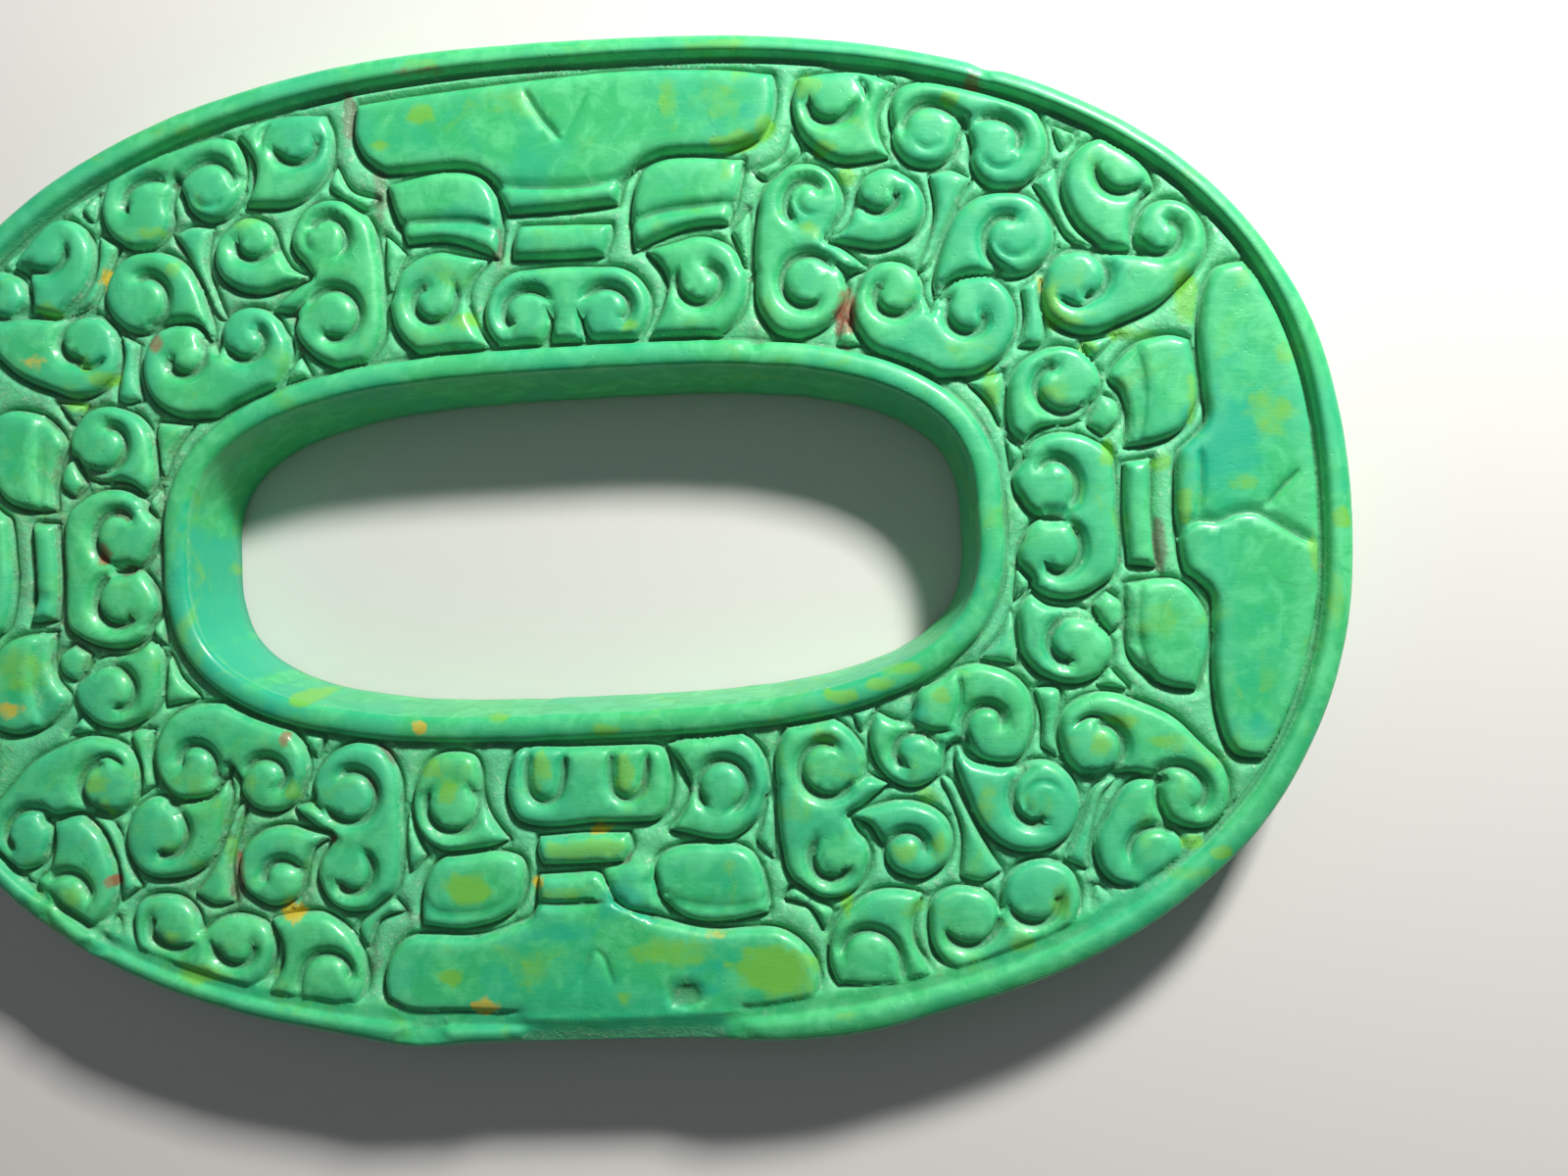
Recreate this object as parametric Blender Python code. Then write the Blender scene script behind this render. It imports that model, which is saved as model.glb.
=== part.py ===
"""A flat oblong stone ring, carved on its upper face with scrolls and masks, as one solid.

Metres, +Z up. The back lies on z = 0, and the middle of the outline is at x = 0, y = 0.
The carving is laid out on one quarter of the ring and mirrored into the other three.
"""

import math
from dataclasses import dataclass

import bmesh
import bpy
import numpy as np
from mathutils.geometry import delaunay_2d_cdt

# Outline and thickness
LENGTH = 0.0861
WIDTH = 0.0579
THICKNESS = 0.0065
OUTLINE_POWER = 2.45
BACK_ROUND = 0.0006

# Plain rim round the outside of the carved face
RIM_WIDTH = 0.0013
RIM_ROUND = 0.00045

# Hole, measured where its wall meets the rounded edge of the carved face
HOLE_LENGTH = 0.0460
HOLE_WIDTH = 0.0196
HOLE_POWER = 3.0
HOLE_TAPER = 0.0004
HOLE_ROUND = 0.0004
HOLE_SHIFT = (-0.0003, -0.0002)

# Plain border round the hole
BORDER_WIDTH = 0.0012

# Carving
CARVING_DEPTH = 0.0007
CARVING_SLOPE = 0.0002
FIELD_MARGIN = 0.0004
GROOVE_WIDTH = 0.00056
GROOVE_DEPTH = 0.00042
LEAF_RISE = 0.72

# Worn places of the outer edge: place along X in hundredths of the half length, which side of
# the X axis, half the length of the wear and its depth
WORN_EDGES = (
    (2.3, -1, 0.0085, 0.00042),
    (-77.8, -1, 0.0030, 0.00050),
    (56.9, 1, 0.0011, 0.00035),
)

# How finely curves are divided: the longest piece of a free curve, the degrees that one piece of
# a round stretch turns through, and the sides of the outline and of the hole
OUTLINE_STEP = 0.0022
TURN_STEP = 42.0
RING_SIDES = 64
FINE_SIDES = 1440

# How strongly a curve leaves a corner, as a share of the chord, and the most that it may swing
CORNER_PULL = 0.6
LONGEST_TANGENT = 1.3
SHARP_EDGE = 24.0

# The stone
STONE_COLOUR = (0.035, 0.42, 0.20, 1.0)
STONE_ROUGHNESS = 0.32


@dataclass(frozen=True)
class Head:
    """The round end of a scroll, with the groove that curls round it from start to end degrees.

    Places and radii are hundredths of the half length, and y is hundredths of the half width.
    """

    x: float
    y: float
    radius: float
    start: float
    end: float


@dataclass(frozen=True)
class Turn:
    """A round stretch of outline about one head, through radii spaced evenly from start to end."""

    head: int
    start: float
    end: float
    radii: tuple


@dataclass(frozen=True)
class Motif:
    """One raised shape. A point with a third value is a sharp corner.

    A folded motif lists one half of its outline, from its axis back to its axis.
    """

    outline: tuple
    heads: tuple = ()
    grooves: tuple = ()
    fold: str = ""
    rise: float = 1.0


MOTIFS = {
    "rim_crescent": Motif(
        outline=(
            (32.6, 90.4, 1), (31.6, 85.8), (32.2, 79.8), (34.4, 75.3), (38.2, 72.3), (44.4, 73, 1),
            (43, 77.5), (43.1, 82.1), (45.6, 87.7, 1), (41.9, 90.1), (37.4, 91),
        ),
        heads=(Head(36.3, 85.8, 3.7, 196, 342),),
        grooves=(
            ((40.1, 89.5), (41.4, 87), (41.6, 84.1)),
        ),
    ),
    "rim_pair": Motif(
        outline=(
            (44.7, 78.8), (44.7, 83.5), (46.2, 86.9), (49.6, 87.6), (57.2, 84.4),
            Turn(1, 50, -178, (6.9, 5.8, 5, 3.9)), (54.7, 77.1, 1), Turn(0, -28, -200, (4.1, 4.3, 5)),
        ),
        heads=(Head(49.6, 76.5, 4.3, 0, 0), Head(59, 72.6, 4.1, 0, 0)),
        grooves=(
            ((46, 80.6), (47.8, 83.2), (50.4, 83.9), (52.5, 82.1), (54.8, 77.5)),
            ((54.8, 77.5), (57, 79), (59.3, 79.2), (61.3, 77.2), (62.3, 73.4)),
        ),
    ),
    "inner_pair": Motif(
        outline=(
            Turn(0, 187, -50, (7.4, 5.6, 4.2, 4.2)), (35.3, 57.4, 1), (38, 54.8), (40.7, 51.2, 1),
            Turn(1, 5, -182, (5.1, 6, 8, 7)), (25.8, 57),
        ),
        heads=(Head(33.7, 65, 3.7, 90, 228), Head(32.7, 48.9, 3.6, 30, 300)),
        grooves=(
            ((36.1, 52.5), (37.6, 50.4), (38.6, 49.1)),
        ),
    ),
    "hook": Motif(
        outline=(
            Turn(0, 183, -119, (3.4, 2.9, 3.6, 7, 8.2)), (35.3, 57.2, 1), (37.9, 59.3), (39.1, 62.7),
        ),
        heads=(Head(43.1, 66.3, 3.2, 200, 372),),
    ),
    "border_pair": Motif(
        outline=(
            Turn(0, -7, 260, (3.9, 4.2, 4.9, 8.6)), (47.4, 29.3),
            Turn(1, -98, 148, (8.4, 6.5, 5.5, 4.6)), (48.8, 41.5, 1),
        ),
        heads=(Head(44, 45.9, 3.3, 168, 345), Head(53.7, 40.9, 3.2, 150, 370)),
    ),
    "comma": Motif(
        outline=(
            Turn(0, -125, 179, (5.3, 4.8, 5.3, 6.6, 9.5)), (49.3, 47.9), (49.7, 43.6, 1), (51.7, 47.4),
        ),
        heads=(Head(60.3, 54.9, 4.4, 90, 262),),
    ),
    "mask_crescent": Motif(
        outline=(
            Turn(0, 70, 306, (4.5, 4.3, 6.3, 7.9)), (78.3, 39.9),
            Turn(1, -64, 226, (7, 5.7, 4.5, 3.3, 4.4)), (73, 50.9),
        ),
        heads=(Head(68.4, 46.2, 4, -30, 128), Head(79.2, 54.3, 3.3, -150, 52)),
        grooves=(
            ((65.5, 42.6), (68, 40.7), (70.6, 42.3)),
        ),
    ),
    "rim_comma": Motif(
        outline=(
            Turn(0, 239, 75, (9.9, 7.7, 5.3, 2.7)), (78.1, 66.7), (78.7, 63.2, 1), (76.6, 60.7),
            (75.9, 55.8), (76.4, 50.8, 1), (72.4, 51.5),
        ),
        heads=(Head(74.6, 67.5, 3.3, 180, 318),),
    ),
    "tongue": Motif(
        outline=(
            (62.9, 66, 1), (66, 68.8, 1), (66.5, 62.5), (68.3, 56.2), (71, 52.3), (68.7, 53.1),
            (66.8, 55.2), (65.4, 59.9),
        ),
        rise=LEAF_RISE,
    ),
    "fishtail": Motif(
        outline=(
            (49.4, 69, 1), (52.3, 69.6), (55, 67.6, 1), (53.3, 63.9), (50.8, 57.2), (48.7, 50.8),
            (46.9, 49.5, 1), (48.6, 54.7), (49.9, 61.4),
        ),
        rise=LEAF_RISE,
    ),
    "leaf_forehead": Motif(
        outline=(
            (26.1, 72.2, 1), (29.6, 74.6), (31.3, 79.7, 1), (32.5, 75.5), (30.4, 73), (27.9, 70.1),
        ),
        rise=LEAF_RISE,
    ),
    "leaf_rim": Motif(
        outline=(
            (65.9, 77.3, 1), (68.9, 75, 1), (66.9, 72.1),
        ),
        rise=LEAF_RISE,
    ),
    "leaf_border": Motif(
        outline=(
            (37.3, 41.5, 1), (39.5, 36, 1), (35.8, 36, 1),
        ),
        rise=LEAF_RISE,
    ),
    "leaf_mask": Motif(
        outline=(
            (68.7, 34.1, 1), (72.8, 34.8, 1), (70.1, 30.3, 1),
        ),
        rise=LEAF_RISE,
    ),
    "leaf_middle": Motif(
        outline=(
            (60.8, 45.2, 1), (63.7, 48.2, 1), (63.2, 42.7), (63.7, 34.7), (60.3, 33.9, 1),
            (61.1, 39.6),
        ),
        rise=LEAF_RISE,
    ),
    "leaf_corner": Motif(
        outline=(
            (53.2, 27.4, 1), (58.1, 29.1, 1), (58.5, 24.5), (57.7, 18, 1), (56.1, 23.1),
        ),
        rise=LEAF_RISE,
    ),
    "long_forehead": Motif(
        outline=(
            (0, 94.8, 1), (10.5, 94.9), (21.1, 94.4), (30.4, 92.2, 1), (30.8, 86.3), (29.2, 80.9),
            (26.4, 77.1), (22.5, 76.4), (16.5, 76.8), (11.9, 75.4), (9.2, 72.5), (8.1, 67.5, 1),
            (0, 67.5, 1),
        ),
        grooves=(
            ((0, 80.4), (2, 85), (4.2, 91.4)),
        ),
        fold="x",
    ),
    "long_eye": Motif(
        outline=(
            (11.1, 73.9), (13.9, 75.9), (17.8, 76.1), (24.9, 74.7, 1), (24.2, 68.9), (22.6, 62, 1),
            (17.3, 61.8), (12.6, 59.7), (9.7, 57.8, 1), (9.3, 63.6), (9.8, 69.5),
        ),
        grooves=(
            ((10.6, 64.8), (13.5, 66.3), (17.5, 66.7), (22.1, 66.6)),
        ),
    ),
    "long_nose": Motif(
        outline=(
            (0, 64.7, 1), (5.9, 64.5, 1), (4.7, 57.9, 1), (0, 57.4, 1),
        ),
        fold="x",
    ),
    "long_mouth": Motif(
        outline=(
            (0, 55.8, 1), Turn(0, 100, -177, (7, 5.6, 4.5, 3.9)), (3, 39.4, 1), (0, 39.3, 1),
        ),
        heads=(Head(6.4, 45.4, 4.3, 0, 152),),
        fold="x",
    ),
    "long_cheek": Motif(
        outline=(
            (11.2, 57.7, 1), Turn(0, 113, -79, (6.5, 6.3, 6.4, 7.7)), (11.6, 40, 1), (13, 44.2),
            (14.1, 49.9), (13.4, 53.9),
        ),
        heads=(Head(18.5, 50.5, 3.7, 148, 392),),
    ),
    "leaf_cheek": Motif(
        outline=(
            (22.8, 60.4, 1), (25.3, 64.5, 1), (25.3, 57.1), (24.8, 50.8, 1), (24, 56.2),
        ),
        rise=LEAF_RISE,
    ),
    "short_forehead": Motif(
        outline=(
            (98.3, 0, 1), (98.2, 6.2), (97.3, 19.5), (95.1, 32), (92.1, 42.3), (89.6, 47.9, 1),
            (86, 46.7), (84.1, 41.6), (83.1, 33.1), (83.3, 23.6), (83.5, 16.9), (81.6, 13.3),
            (80.1, 11.2), (79.5, 0, 1),
        ),
        grooves=(
            ((90.9, 0), (93.5, 3.4), (95.8, 7)),
        ),
        fold="y",
    ),
    "short_eye": Motif(
        outline=(
            (73.1, 30.4), (75.5, 32.9), (79.3, 34), (82, 32.8, 1), (82.6, 26.5), (82.6, 20.4),
            (80.5, 15.3), (77.2, 13.3), (73.4, 12.9, 1), (73.5, 18.7), (72.8, 23.2), (71.6, 26.7),
        ),
        grooves=(
            ((74.5, 31.1), (75.2, 27.2), (75.5, 22.4), (75.2, 15.8)),
        ),
    ),
    "short_nose": Motif(
        outline=(
            (72.9, 0, 1), (73.3, 10.2, 1), (76.8, 10.7, 1), (76.4, 0, 1),
        ),
        fold="y",
    ),
    "short_mouth": Motif(
        outline=(
            (72.1, 0, 1), (72.2, 6.5), (71.7, 11.9), Turn(0, 44, 291, (8.4, 5.1, 3.9, 5)),
        ),
        heads=(Head(63.1, 6.5, 4.3, -55, 105),),
        fold="y",
    ),
    "short_cheek": Motif(
        outline=(
            Turn(0, 197, -103, (7.9, 5.5, 5, 4.8, 5.2)), (62.5, 17.6), (60.4, 15.1, 1), (58.8, 17.5),
        ),
        heads=(Head(66, 25.9, 3.9, 140, 322),),
    ),
    "leaf_eye": Motif(
        outline=(
            (70.1, 24.2, 1), (72.3, 21.7), (72.6, 17.9), (70.7, 15.4, 1), (68.8, 17.8, 1),
        ),
        rise=LEAF_RISE,
    ),
    "leaf_hole": Motif(
        outline=(
            (58.1, 16.4, 1), (60.8, 12.8, 1), (58.6, 9.5, 1),
        ),
        rise=LEAF_RISE,
    ),
}

SCALE_X = LENGTH / 2 / 100
SCALE_Y = WIDTH / 2 / 100
FOLDS = {"x": (-1, 1), "y": (1, -1)}


def superellipse(half_x, half_y, power):
    """RING_SIDES points spaced evenly along a superellipse, from its +X end, anticlockwise."""
    angles = np.linspace(0, 2 * math.pi, FINE_SIDES + 1)
    cosine, sine = np.cos(angles), np.sin(angles)
    fine = np.stack(
        [
            half_x * np.sign(cosine) * np.abs(cosine) ** (2 / power),
            half_y * np.sign(sine) * np.abs(sine) ** (2 / power),
        ],
        axis=1,
    )
    travelled = np.concatenate([[0], np.cumsum(np.linalg.norm(np.diff(fine, axis=0), axis=1))])
    even = np.linspace(0, travelled[-1], RING_SIDES, endpoint=False)
    return np.stack([np.interp(even, travelled, fine[:, k]) for k in (0, 1)], axis=1)


def outer_ring(inset):
    """The outline, moved inwards by this much, with its worn places."""
    ring = superellipse(LENGTH / 2 - inset, WIDTH / 2 - inset, OUTLINE_POWER)
    fade = max(0.0, 1 - inset / RIM_WIDTH)
    for place, side, half, depth in WORN_EDGES:
        beside = np.abs(ring[:, 0] - place * SCALE_X)
        near = np.clip(1 - beside / half, 0, 1) * (ring[:, 1] * side > 0)
        wear = depth * fade * near * near * (3 - 2 * near)
        ring -= ring / np.linalg.norm(ring, axis=1, keepdims=True) * wear[:, None]
    return ring


def hole_ring(outset):
    """The hole's outline, moved outwards by this much."""
    ring = superellipse(HOLE_LENGTH / 2 + outset, HOLE_WIDTH / 2 + outset, HOLE_POWER)
    return ring + HOLE_SHIFT


def reach(points, half_x, half_y, power):
    """How far out each point lies, as a share of the superellipse through these half sizes."""
    x = np.abs(points[:, 0]) / half_x
    y = np.abs(points[:, 1]) / half_y
    return (x**power + y**power) ** (1 / power)


def kept_in_field(points):
    """The points, moved where needed so that the carving stays between the border and the rim."""
    edge = RIM_WIDTH + CARVING_SLOPE + FIELD_MARGIN
    out = reach(points, LENGTH / 2 - edge, WIDTH / 2 - edge, OUTLINE_POWER)
    points = points / np.maximum(out, 1)[:, None]
    edge = HOLE_ROUND + BORDER_WIDTH + CARVING_SLOPE + FIELD_MARGIN
    middle = points - HOLE_SHIFT
    out = reach(middle, HOLE_LENGTH / 2 + edge, HOLE_WIDTH / 2 + edge, HOLE_POWER)
    return middle / np.minimum(out, 1)[:, None] + HOLE_SHIFT


def head_centre(head):
    return np.array([head.x * SCALE_X, head.y * SCALE_Y])


def turn_points(turn, head):
    """Points of a round stretch, in metres, about one every TURN_STEP degrees."""
    count = max(2, round(abs(turn.end - turn.start) / TURN_STEP) + 1)
    shares = np.linspace(0, 1, count)
    radii = np.interp(shares, np.linspace(0, 1, len(turn.radii)), turn.radii) * SCALE_X
    angles = np.radians(turn.start + (turn.end - turn.start) * shares)
    return head_centre(head) + np.stack([radii * np.cos(angles), radii * np.sin(angles)], axis=1)


def control_points(motif):
    """The points that a motif's outline goes through, and which of them are corners."""
    points = []
    corners = []
    for item in motif.outline:
        if isinstance(item, Turn):
            stretch = turn_points(item, motif.heads[item.head])
            points.extend(stretch)
            corners.extend([False] * len(stretch))
        else:
            points.append(np.array([item[0] * SCALE_X, item[1] * SCALE_Y]))
            corners.append(len(item) > 2)
    if motif.fold:
        points += [point * FOLDS[motif.fold] for point in points[-2:0:-1]]
        corners += corners[-2:0:-1]
        corners[0] = False
    return points, corners


def spline(points, corners, closed):
    """A smooth line through the points, with a vertex about every OUTLINE_STEP."""
    line = []
    count = len(points)
    for k in range(count if closed else count - 1):
        start, end = points[k], points[(k + 1) % count]
        chord = end - start
        before = points[k - 1] if closed or k > 0 else start
        after = points[(k + 2) % count] if closed or k + 2 < count else end
        leave = chord * CORNER_PULL if corners[k] else (end - before) / 2
        arrive = chord * CORNER_PULL if corners[(k + 1) % count] else (after - start) / 2
        length = np.linalg.norm(chord)
        leave = leave * min(1, LONGEST_TANGENT * length / np.linalg.norm(leave))
        arrive = arrive * min(1, LONGEST_TANGENT * length / np.linalg.norm(arrive))
        steps = max(1, round(length / OUTLINE_STEP))
        for step in range(steps):
            t = step / steps
            line.append(
                (2 * t**3 - 3 * t**2 + 1) * start
                + (t**3 - 2 * t**2 + t) * leave
                + (3 * t**2 - 2 * t**3) * end
                + (t**3 - t**2) * arrive
            )
    if not closed:
        line.append(points[-1])
    return np.array(line)


def moved_sideways(line, distance, closed):
    """The line, moved to its left by this distance."""
    if closed:
        along = np.roll(line, -1, axis=0) - np.roll(line, 1, axis=0)
    else:
        along = np.gradient(line, axis=0)
    left = np.stack([-along[:, 1], along[:, 0]], axis=1)
    return line + left / np.maximum(np.linalg.norm(left, axis=1), 1e-9)[:, None] * distance


def distance_to(points, starts, ends):
    """Each point's distance to the nearest of these straight pieces."""
    chord = ends - starts
    offset = points[:, None] - starts
    share = np.clip((offset * chord).sum(axis=2) / (chord * chord).sum(axis=1), 0, 1)
    return np.linalg.norm(offset - share[..., None] * chord, axis=2).min(axis=1)


def depth_inside(points, loop):
    """How far inside a closed loop each point is, less than zero outside it."""
    starts, ends = loop, np.roll(loop, -1, axis=0)
    x, y = points[:, 0:1], points[:, 1:2]
    crosses = (starts[:, 1] > y) != (ends[:, 1] > y)
    rise = np.where(np.abs(ends[:, 1] - starts[:, 1]) < 1e-12, 1e-12, ends[:, 1] - starts[:, 1])
    crossing_x = starts[:, 0] + (y - starts[:, 1]) * (ends[:, 0] - starts[:, 0]) / rise
    inside = (crosses & (x < crossing_x)).sum(axis=1) % 2 == 1
    return np.where(inside, 1, -1) * distance_to(points, starts, ends)


def groove_line(head):
    """The middle of the groove that curls round a head."""
    radius = head.radius * SCALE_X + GROOVE_WIDTH / 2
    count = max(3, round(abs(head.end - head.start) / TURN_STEP) + 1)
    angles = np.radians(np.linspace(head.start, head.end, count))
    return head_centre(head) + radius * np.stack([np.cos(angles), np.sin(angles)], axis=1)


def groove_edge(line):
    """The closed line where a groove meets the surface that it is cut into."""
    half = GROOVE_WIDTH / 2
    tips = []
    for end, inner in ((line[-1], line[-2]), (line[0], line[1])):
        tips.append(end + (end - inner) / np.linalg.norm(end - inner) * half)
    left = moved_sideways(line, half, False)
    right = moved_sideways(line, -half, False)[::-1]
    return np.concatenate([left, tips[:1], right, tips[1:]])


class Shape:
    """A motif in its place, as an outline that runs anticlockwise and the grooves in it."""

    def __init__(self, motif, mirror):
        points, corners = control_points(motif)
        outline = spline(points, corners, True) * mirror
        lines = [groove_line(head) for head in motif.heads if head.start != head.end]
        for groove in motif.grooves:
            places = [np.array([x * SCALE_X, y * SCALE_Y]) for x, y in groove]
            lines.append(spline(places, [False] * len(places), False))
        if motif.fold:
            lines += [line * FOLDS[motif.fold] for line in lines]
        self.outline = kept_in_field(outline + HOLE_SHIFT)
        area = np.cross(self.outline, np.roll(self.outline, -1, axis=0)).sum()
        if area < 0:
            self.outline = self.outline[::-1]
        self.grooves = [kept_in_field(line * mirror + HOLE_SHIFT) for line in lines]
        self.rise = motif.rise

    def height(self, points):
        """How far the shape stands over the sunk field at each point, zero outside it."""
        inside = depth_inside(points, self.outline)
        height = np.clip(inside / CARVING_SLOPE, 0, 1) * CARVING_DEPTH * self.rise
        for line in self.grooves:
            near = distance_to(points, line[:-1], line[1:])
            cut = GROOVE_DEPTH * np.clip(1 - near / (GROOVE_WIDTH / 2), 0, 1)
            height = np.maximum(height - cut, 0)
        return height


def all_shapes():
    """Every motif in each of the quarters or halves that it belongs to."""
    shapes = []
    for motif in MOTIFS.values():
        for side_x in (1,) if motif.fold == "x" else (1, -1):
            for side_y in (1,) if motif.fold == "y" else (1, -1):
                shapes.append(Shape(motif, np.array([side_x, side_y])))
    return shapes


class Sheet:
    """The lines that the carved face is triangulated along, with each vertex's height."""

    def __init__(self):
        self.points = []
        self.edges = []
        self.heights = []

    def add(self, line, height, closed):
        """Adds a line of points. A height of None is worked out from the carving."""
        first = len(self.points)
        self.points.extend(line)
        self.heights.extend([height] * len(line))
        self.edges.extend((first + k, first + k + 1) for k in range(len(line) - 1))
        if closed:
            self.edges.append((first + len(line) - 1, first))

    def height_of(self, sources):
        """The height that was given with any of these points, or None."""
        given = [self.heights[k] for k in sources if self.heights[k] is not None]
        return given[0] if given else None


def carved_face(bm, shapes):
    """Adds the carved face, and gives back its outer and inner edge as rings of vertices."""
    floor = THICKNESS - CARVING_DEPTH
    sheet = Sheet()
    for inset, height in (
        (0, THICKNESS - RIM_ROUND),
        (RIM_ROUND, THICKNESS),
        (RIM_WIDTH, THICKNESS),
        (RIM_WIDTH + CARVING_SLOPE, floor),
    ):
        sheet.add(outer_ring(inset), height, True)
    land = HOLE_ROUND + BORDER_WIDTH
    for outset, height in (
        (0, THICKNESS - HOLE_ROUND),
        (HOLE_ROUND, THICKNESS),
        (land, THICKNESS),
        (land + CARVING_SLOPE, floor),
    ):
        sheet.add(hole_ring(outset), height, True)
    for shape in shapes:
        sheet.add(shape.outline, None, True)
        sheet.add(moved_sideways(shape.outline, CARVING_SLOPE, True), None, True)
        for line in shape.grooves:
            sheet.add(line, None, False)
            sheet.add(groove_edge(line), None, True)
    points, _, faces, sources, _, _ = delaunay_2d_cdt(
        [tuple(point) for point in sheet.points], sheet.edges, [], 0, 1e-7
    )
    plan = np.array([tuple(point) for point in points])
    known = [sheet.height_of(source) for source in sources]
    raised = np.zeros(len(plan))
    for shape in shapes:
        low = shape.outline.min(axis=0)
        high = shape.outline.max(axis=0)
        near = ((plan >= low) & (plan <= high)).all(axis=1)
        raised[near] = np.maximum(raised[near], shape.height(plan[near]))
    verts = []
    for place, height, rise in zip(plan, known, raised):
        verts.append(bm.verts.new((place[0], place[1], floor + rise if height is None else height)))
    outer, inner = outer_ring(0), hole_ring(0)
    middles = np.array([plan[list(face)].mean(axis=0) for face in faces])
    stone = (depth_inside(middles, outer) > 0) & (depth_inside(middles, inner) < 0)
    for face, solid in zip(faces, stone):
        if solid:
            bm.faces.new([verts[k] for k in face])
    of_source = {k: vert for vert, source in zip(verts, sources) for k in source}
    outer_edge = [of_source[k] for k in range(RING_SIDES)]
    inner_edge = [of_source[4 * RING_SIDES + k] for k in range(RING_SIDES)]
    return outer_edge, inner_edge


def ring_of_verts(bm, ring, height):
    return [bm.verts.new((x, y, height)) for x, y in ring]


def join_rings(bm, upper, lower):
    """Joins two rings of as many vertices with a strip of faces."""
    for k in range(len(upper)):
        following = (k + 1) % len(upper)
        bm.faces.new((upper[k], lower[k], lower[following], upper[following]))


def stone_material():
    material = bpy.data.materials.new("turquoise_stone")
    material.use_nodes = True
    shader = material.node_tree.nodes["Principled BSDF"]
    shader.inputs["Base Color"].default_value = STONE_COLOUR
    shader.inputs["Roughness"].default_value = STONE_ROUGHNESS
    shader.inputs["Metallic"].default_value = 0.0
    material.diffuse_color = STONE_COLOUR
    return material


def build_pendant():
    """The whole ring as one closed body."""
    bm = bmesh.new()
    outer_edge, inner_edge = carved_face(bm, all_shapes())
    outer_rings = [
        outer_edge,
        ring_of_verts(bm, outer_ring(0), BACK_ROUND),
        ring_of_verts(bm, outer_ring(BACK_ROUND), 0),
    ]
    hole_rings = [
        inner_edge,
        ring_of_verts(bm, hole_ring(-HOLE_TAPER), BACK_ROUND),
        ring_of_verts(bm, hole_ring(BACK_ROUND - HOLE_TAPER), 0),
    ]
    for rings in (outer_rings, hole_rings):
        for upper, lower in zip(rings, rings[1:]):
            join_rings(bm, upper, lower)
    join_rings(bm, outer_rings[-1], hole_rings[-1])
    bmesh.ops.recalc_face_normals(bm, faces=bm.faces)
    mesh = bpy.data.meshes.new("pendant")
    bm.to_mesh(mesh)
    bm.free()
    mesh.shade_smooth()
    mesh.set_sharp_from_angle(angle=math.radians(SHARP_EDGE))
    mesh.materials.append(stone_material())
    pendant = bpy.data.objects.new("pendant", mesh)
    bpy.context.scene.collection.objects.link(pendant)
    return pendant


for old in list(bpy.data.objects):
    bpy.data.objects.remove(old)
build_pendant()
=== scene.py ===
"""The looks of a carved oblong stone ring: its relief, wear and stone, in a plain pale studio.

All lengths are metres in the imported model's frame. The ring lies on its back, on z = 0.
"""

import logging
import math
import random
from dataclasses import dataclass, field, replace
from enum import Enum

import bpy
import numpy as np
from mathutils import Matrix, Vector, noise
from mathutils.geometry import delaunay_2d_cdt


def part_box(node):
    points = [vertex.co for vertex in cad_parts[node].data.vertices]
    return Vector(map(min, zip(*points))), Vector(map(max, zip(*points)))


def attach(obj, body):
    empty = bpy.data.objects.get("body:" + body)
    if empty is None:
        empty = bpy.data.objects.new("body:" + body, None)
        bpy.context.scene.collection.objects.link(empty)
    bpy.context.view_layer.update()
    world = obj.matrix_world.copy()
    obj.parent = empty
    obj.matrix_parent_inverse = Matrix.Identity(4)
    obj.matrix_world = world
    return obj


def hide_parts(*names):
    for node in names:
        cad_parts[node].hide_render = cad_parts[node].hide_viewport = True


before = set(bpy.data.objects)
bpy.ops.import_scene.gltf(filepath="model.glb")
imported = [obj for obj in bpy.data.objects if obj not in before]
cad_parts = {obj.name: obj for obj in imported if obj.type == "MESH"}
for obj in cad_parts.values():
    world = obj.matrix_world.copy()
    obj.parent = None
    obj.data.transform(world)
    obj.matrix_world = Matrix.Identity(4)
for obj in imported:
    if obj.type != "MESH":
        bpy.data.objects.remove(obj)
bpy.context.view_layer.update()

Array = np.ndarray
MM = 0.001
TINY = 1e-12
NODE = "pendant"
BODY = "root"

logging.basicConfig(level=logging.INFO, format="%(name)s: %(message)s")
log = logging.getLogger("carved_ring")


class Fold(Enum):
    """The axis that a motif is mirrored across to make its other half."""

    NONE = (1, 1)
    ACROSS_X = (-1, 1)
    ACROSS_Y = (1, -1)


class Tint(Enum):
    """Kinds of coloured patch in the stone, by the name of the mesh attribute that holds them."""

    YELLOW = "yellow_green"
    OCHRE = "ochre"
    RUST = "rust"
    BLUE = "blue_green"
    DIRT_AND_SHADE = "brown_dirt"


@dataclass(frozen=True)
class Head:
    """The round end of a scroll, with the groove that curls round it.

    Its place is in hundredths of the half length and of the half width, and its radius in
    hundredths of the half length. The groove is given by its angles in degrees, anticlockwise,
    each with its distance from the head's middle in millimetres.
    """

    x: float
    y: float
    radius: float
    groove: tuple[tuple[float, float], ...]


@dataclass(frozen=True)
class Turn:
    """A round stretch of outline about one head, through radii spaced evenly from start to end."""

    head: int
    start: float
    end: float
    radii: tuple[float, ...]


@dataclass(frozen=True)
class Line:
    """A groove or step of its own form across a shape.

    Its half widths to the left and right and its depth are in millimetres. Its steep side is
    its left where steep is 1, its right where it is -1, and neither where it is 0.
    """

    points: tuple
    left: float
    right: float
    depth: float
    steep: int


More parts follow.
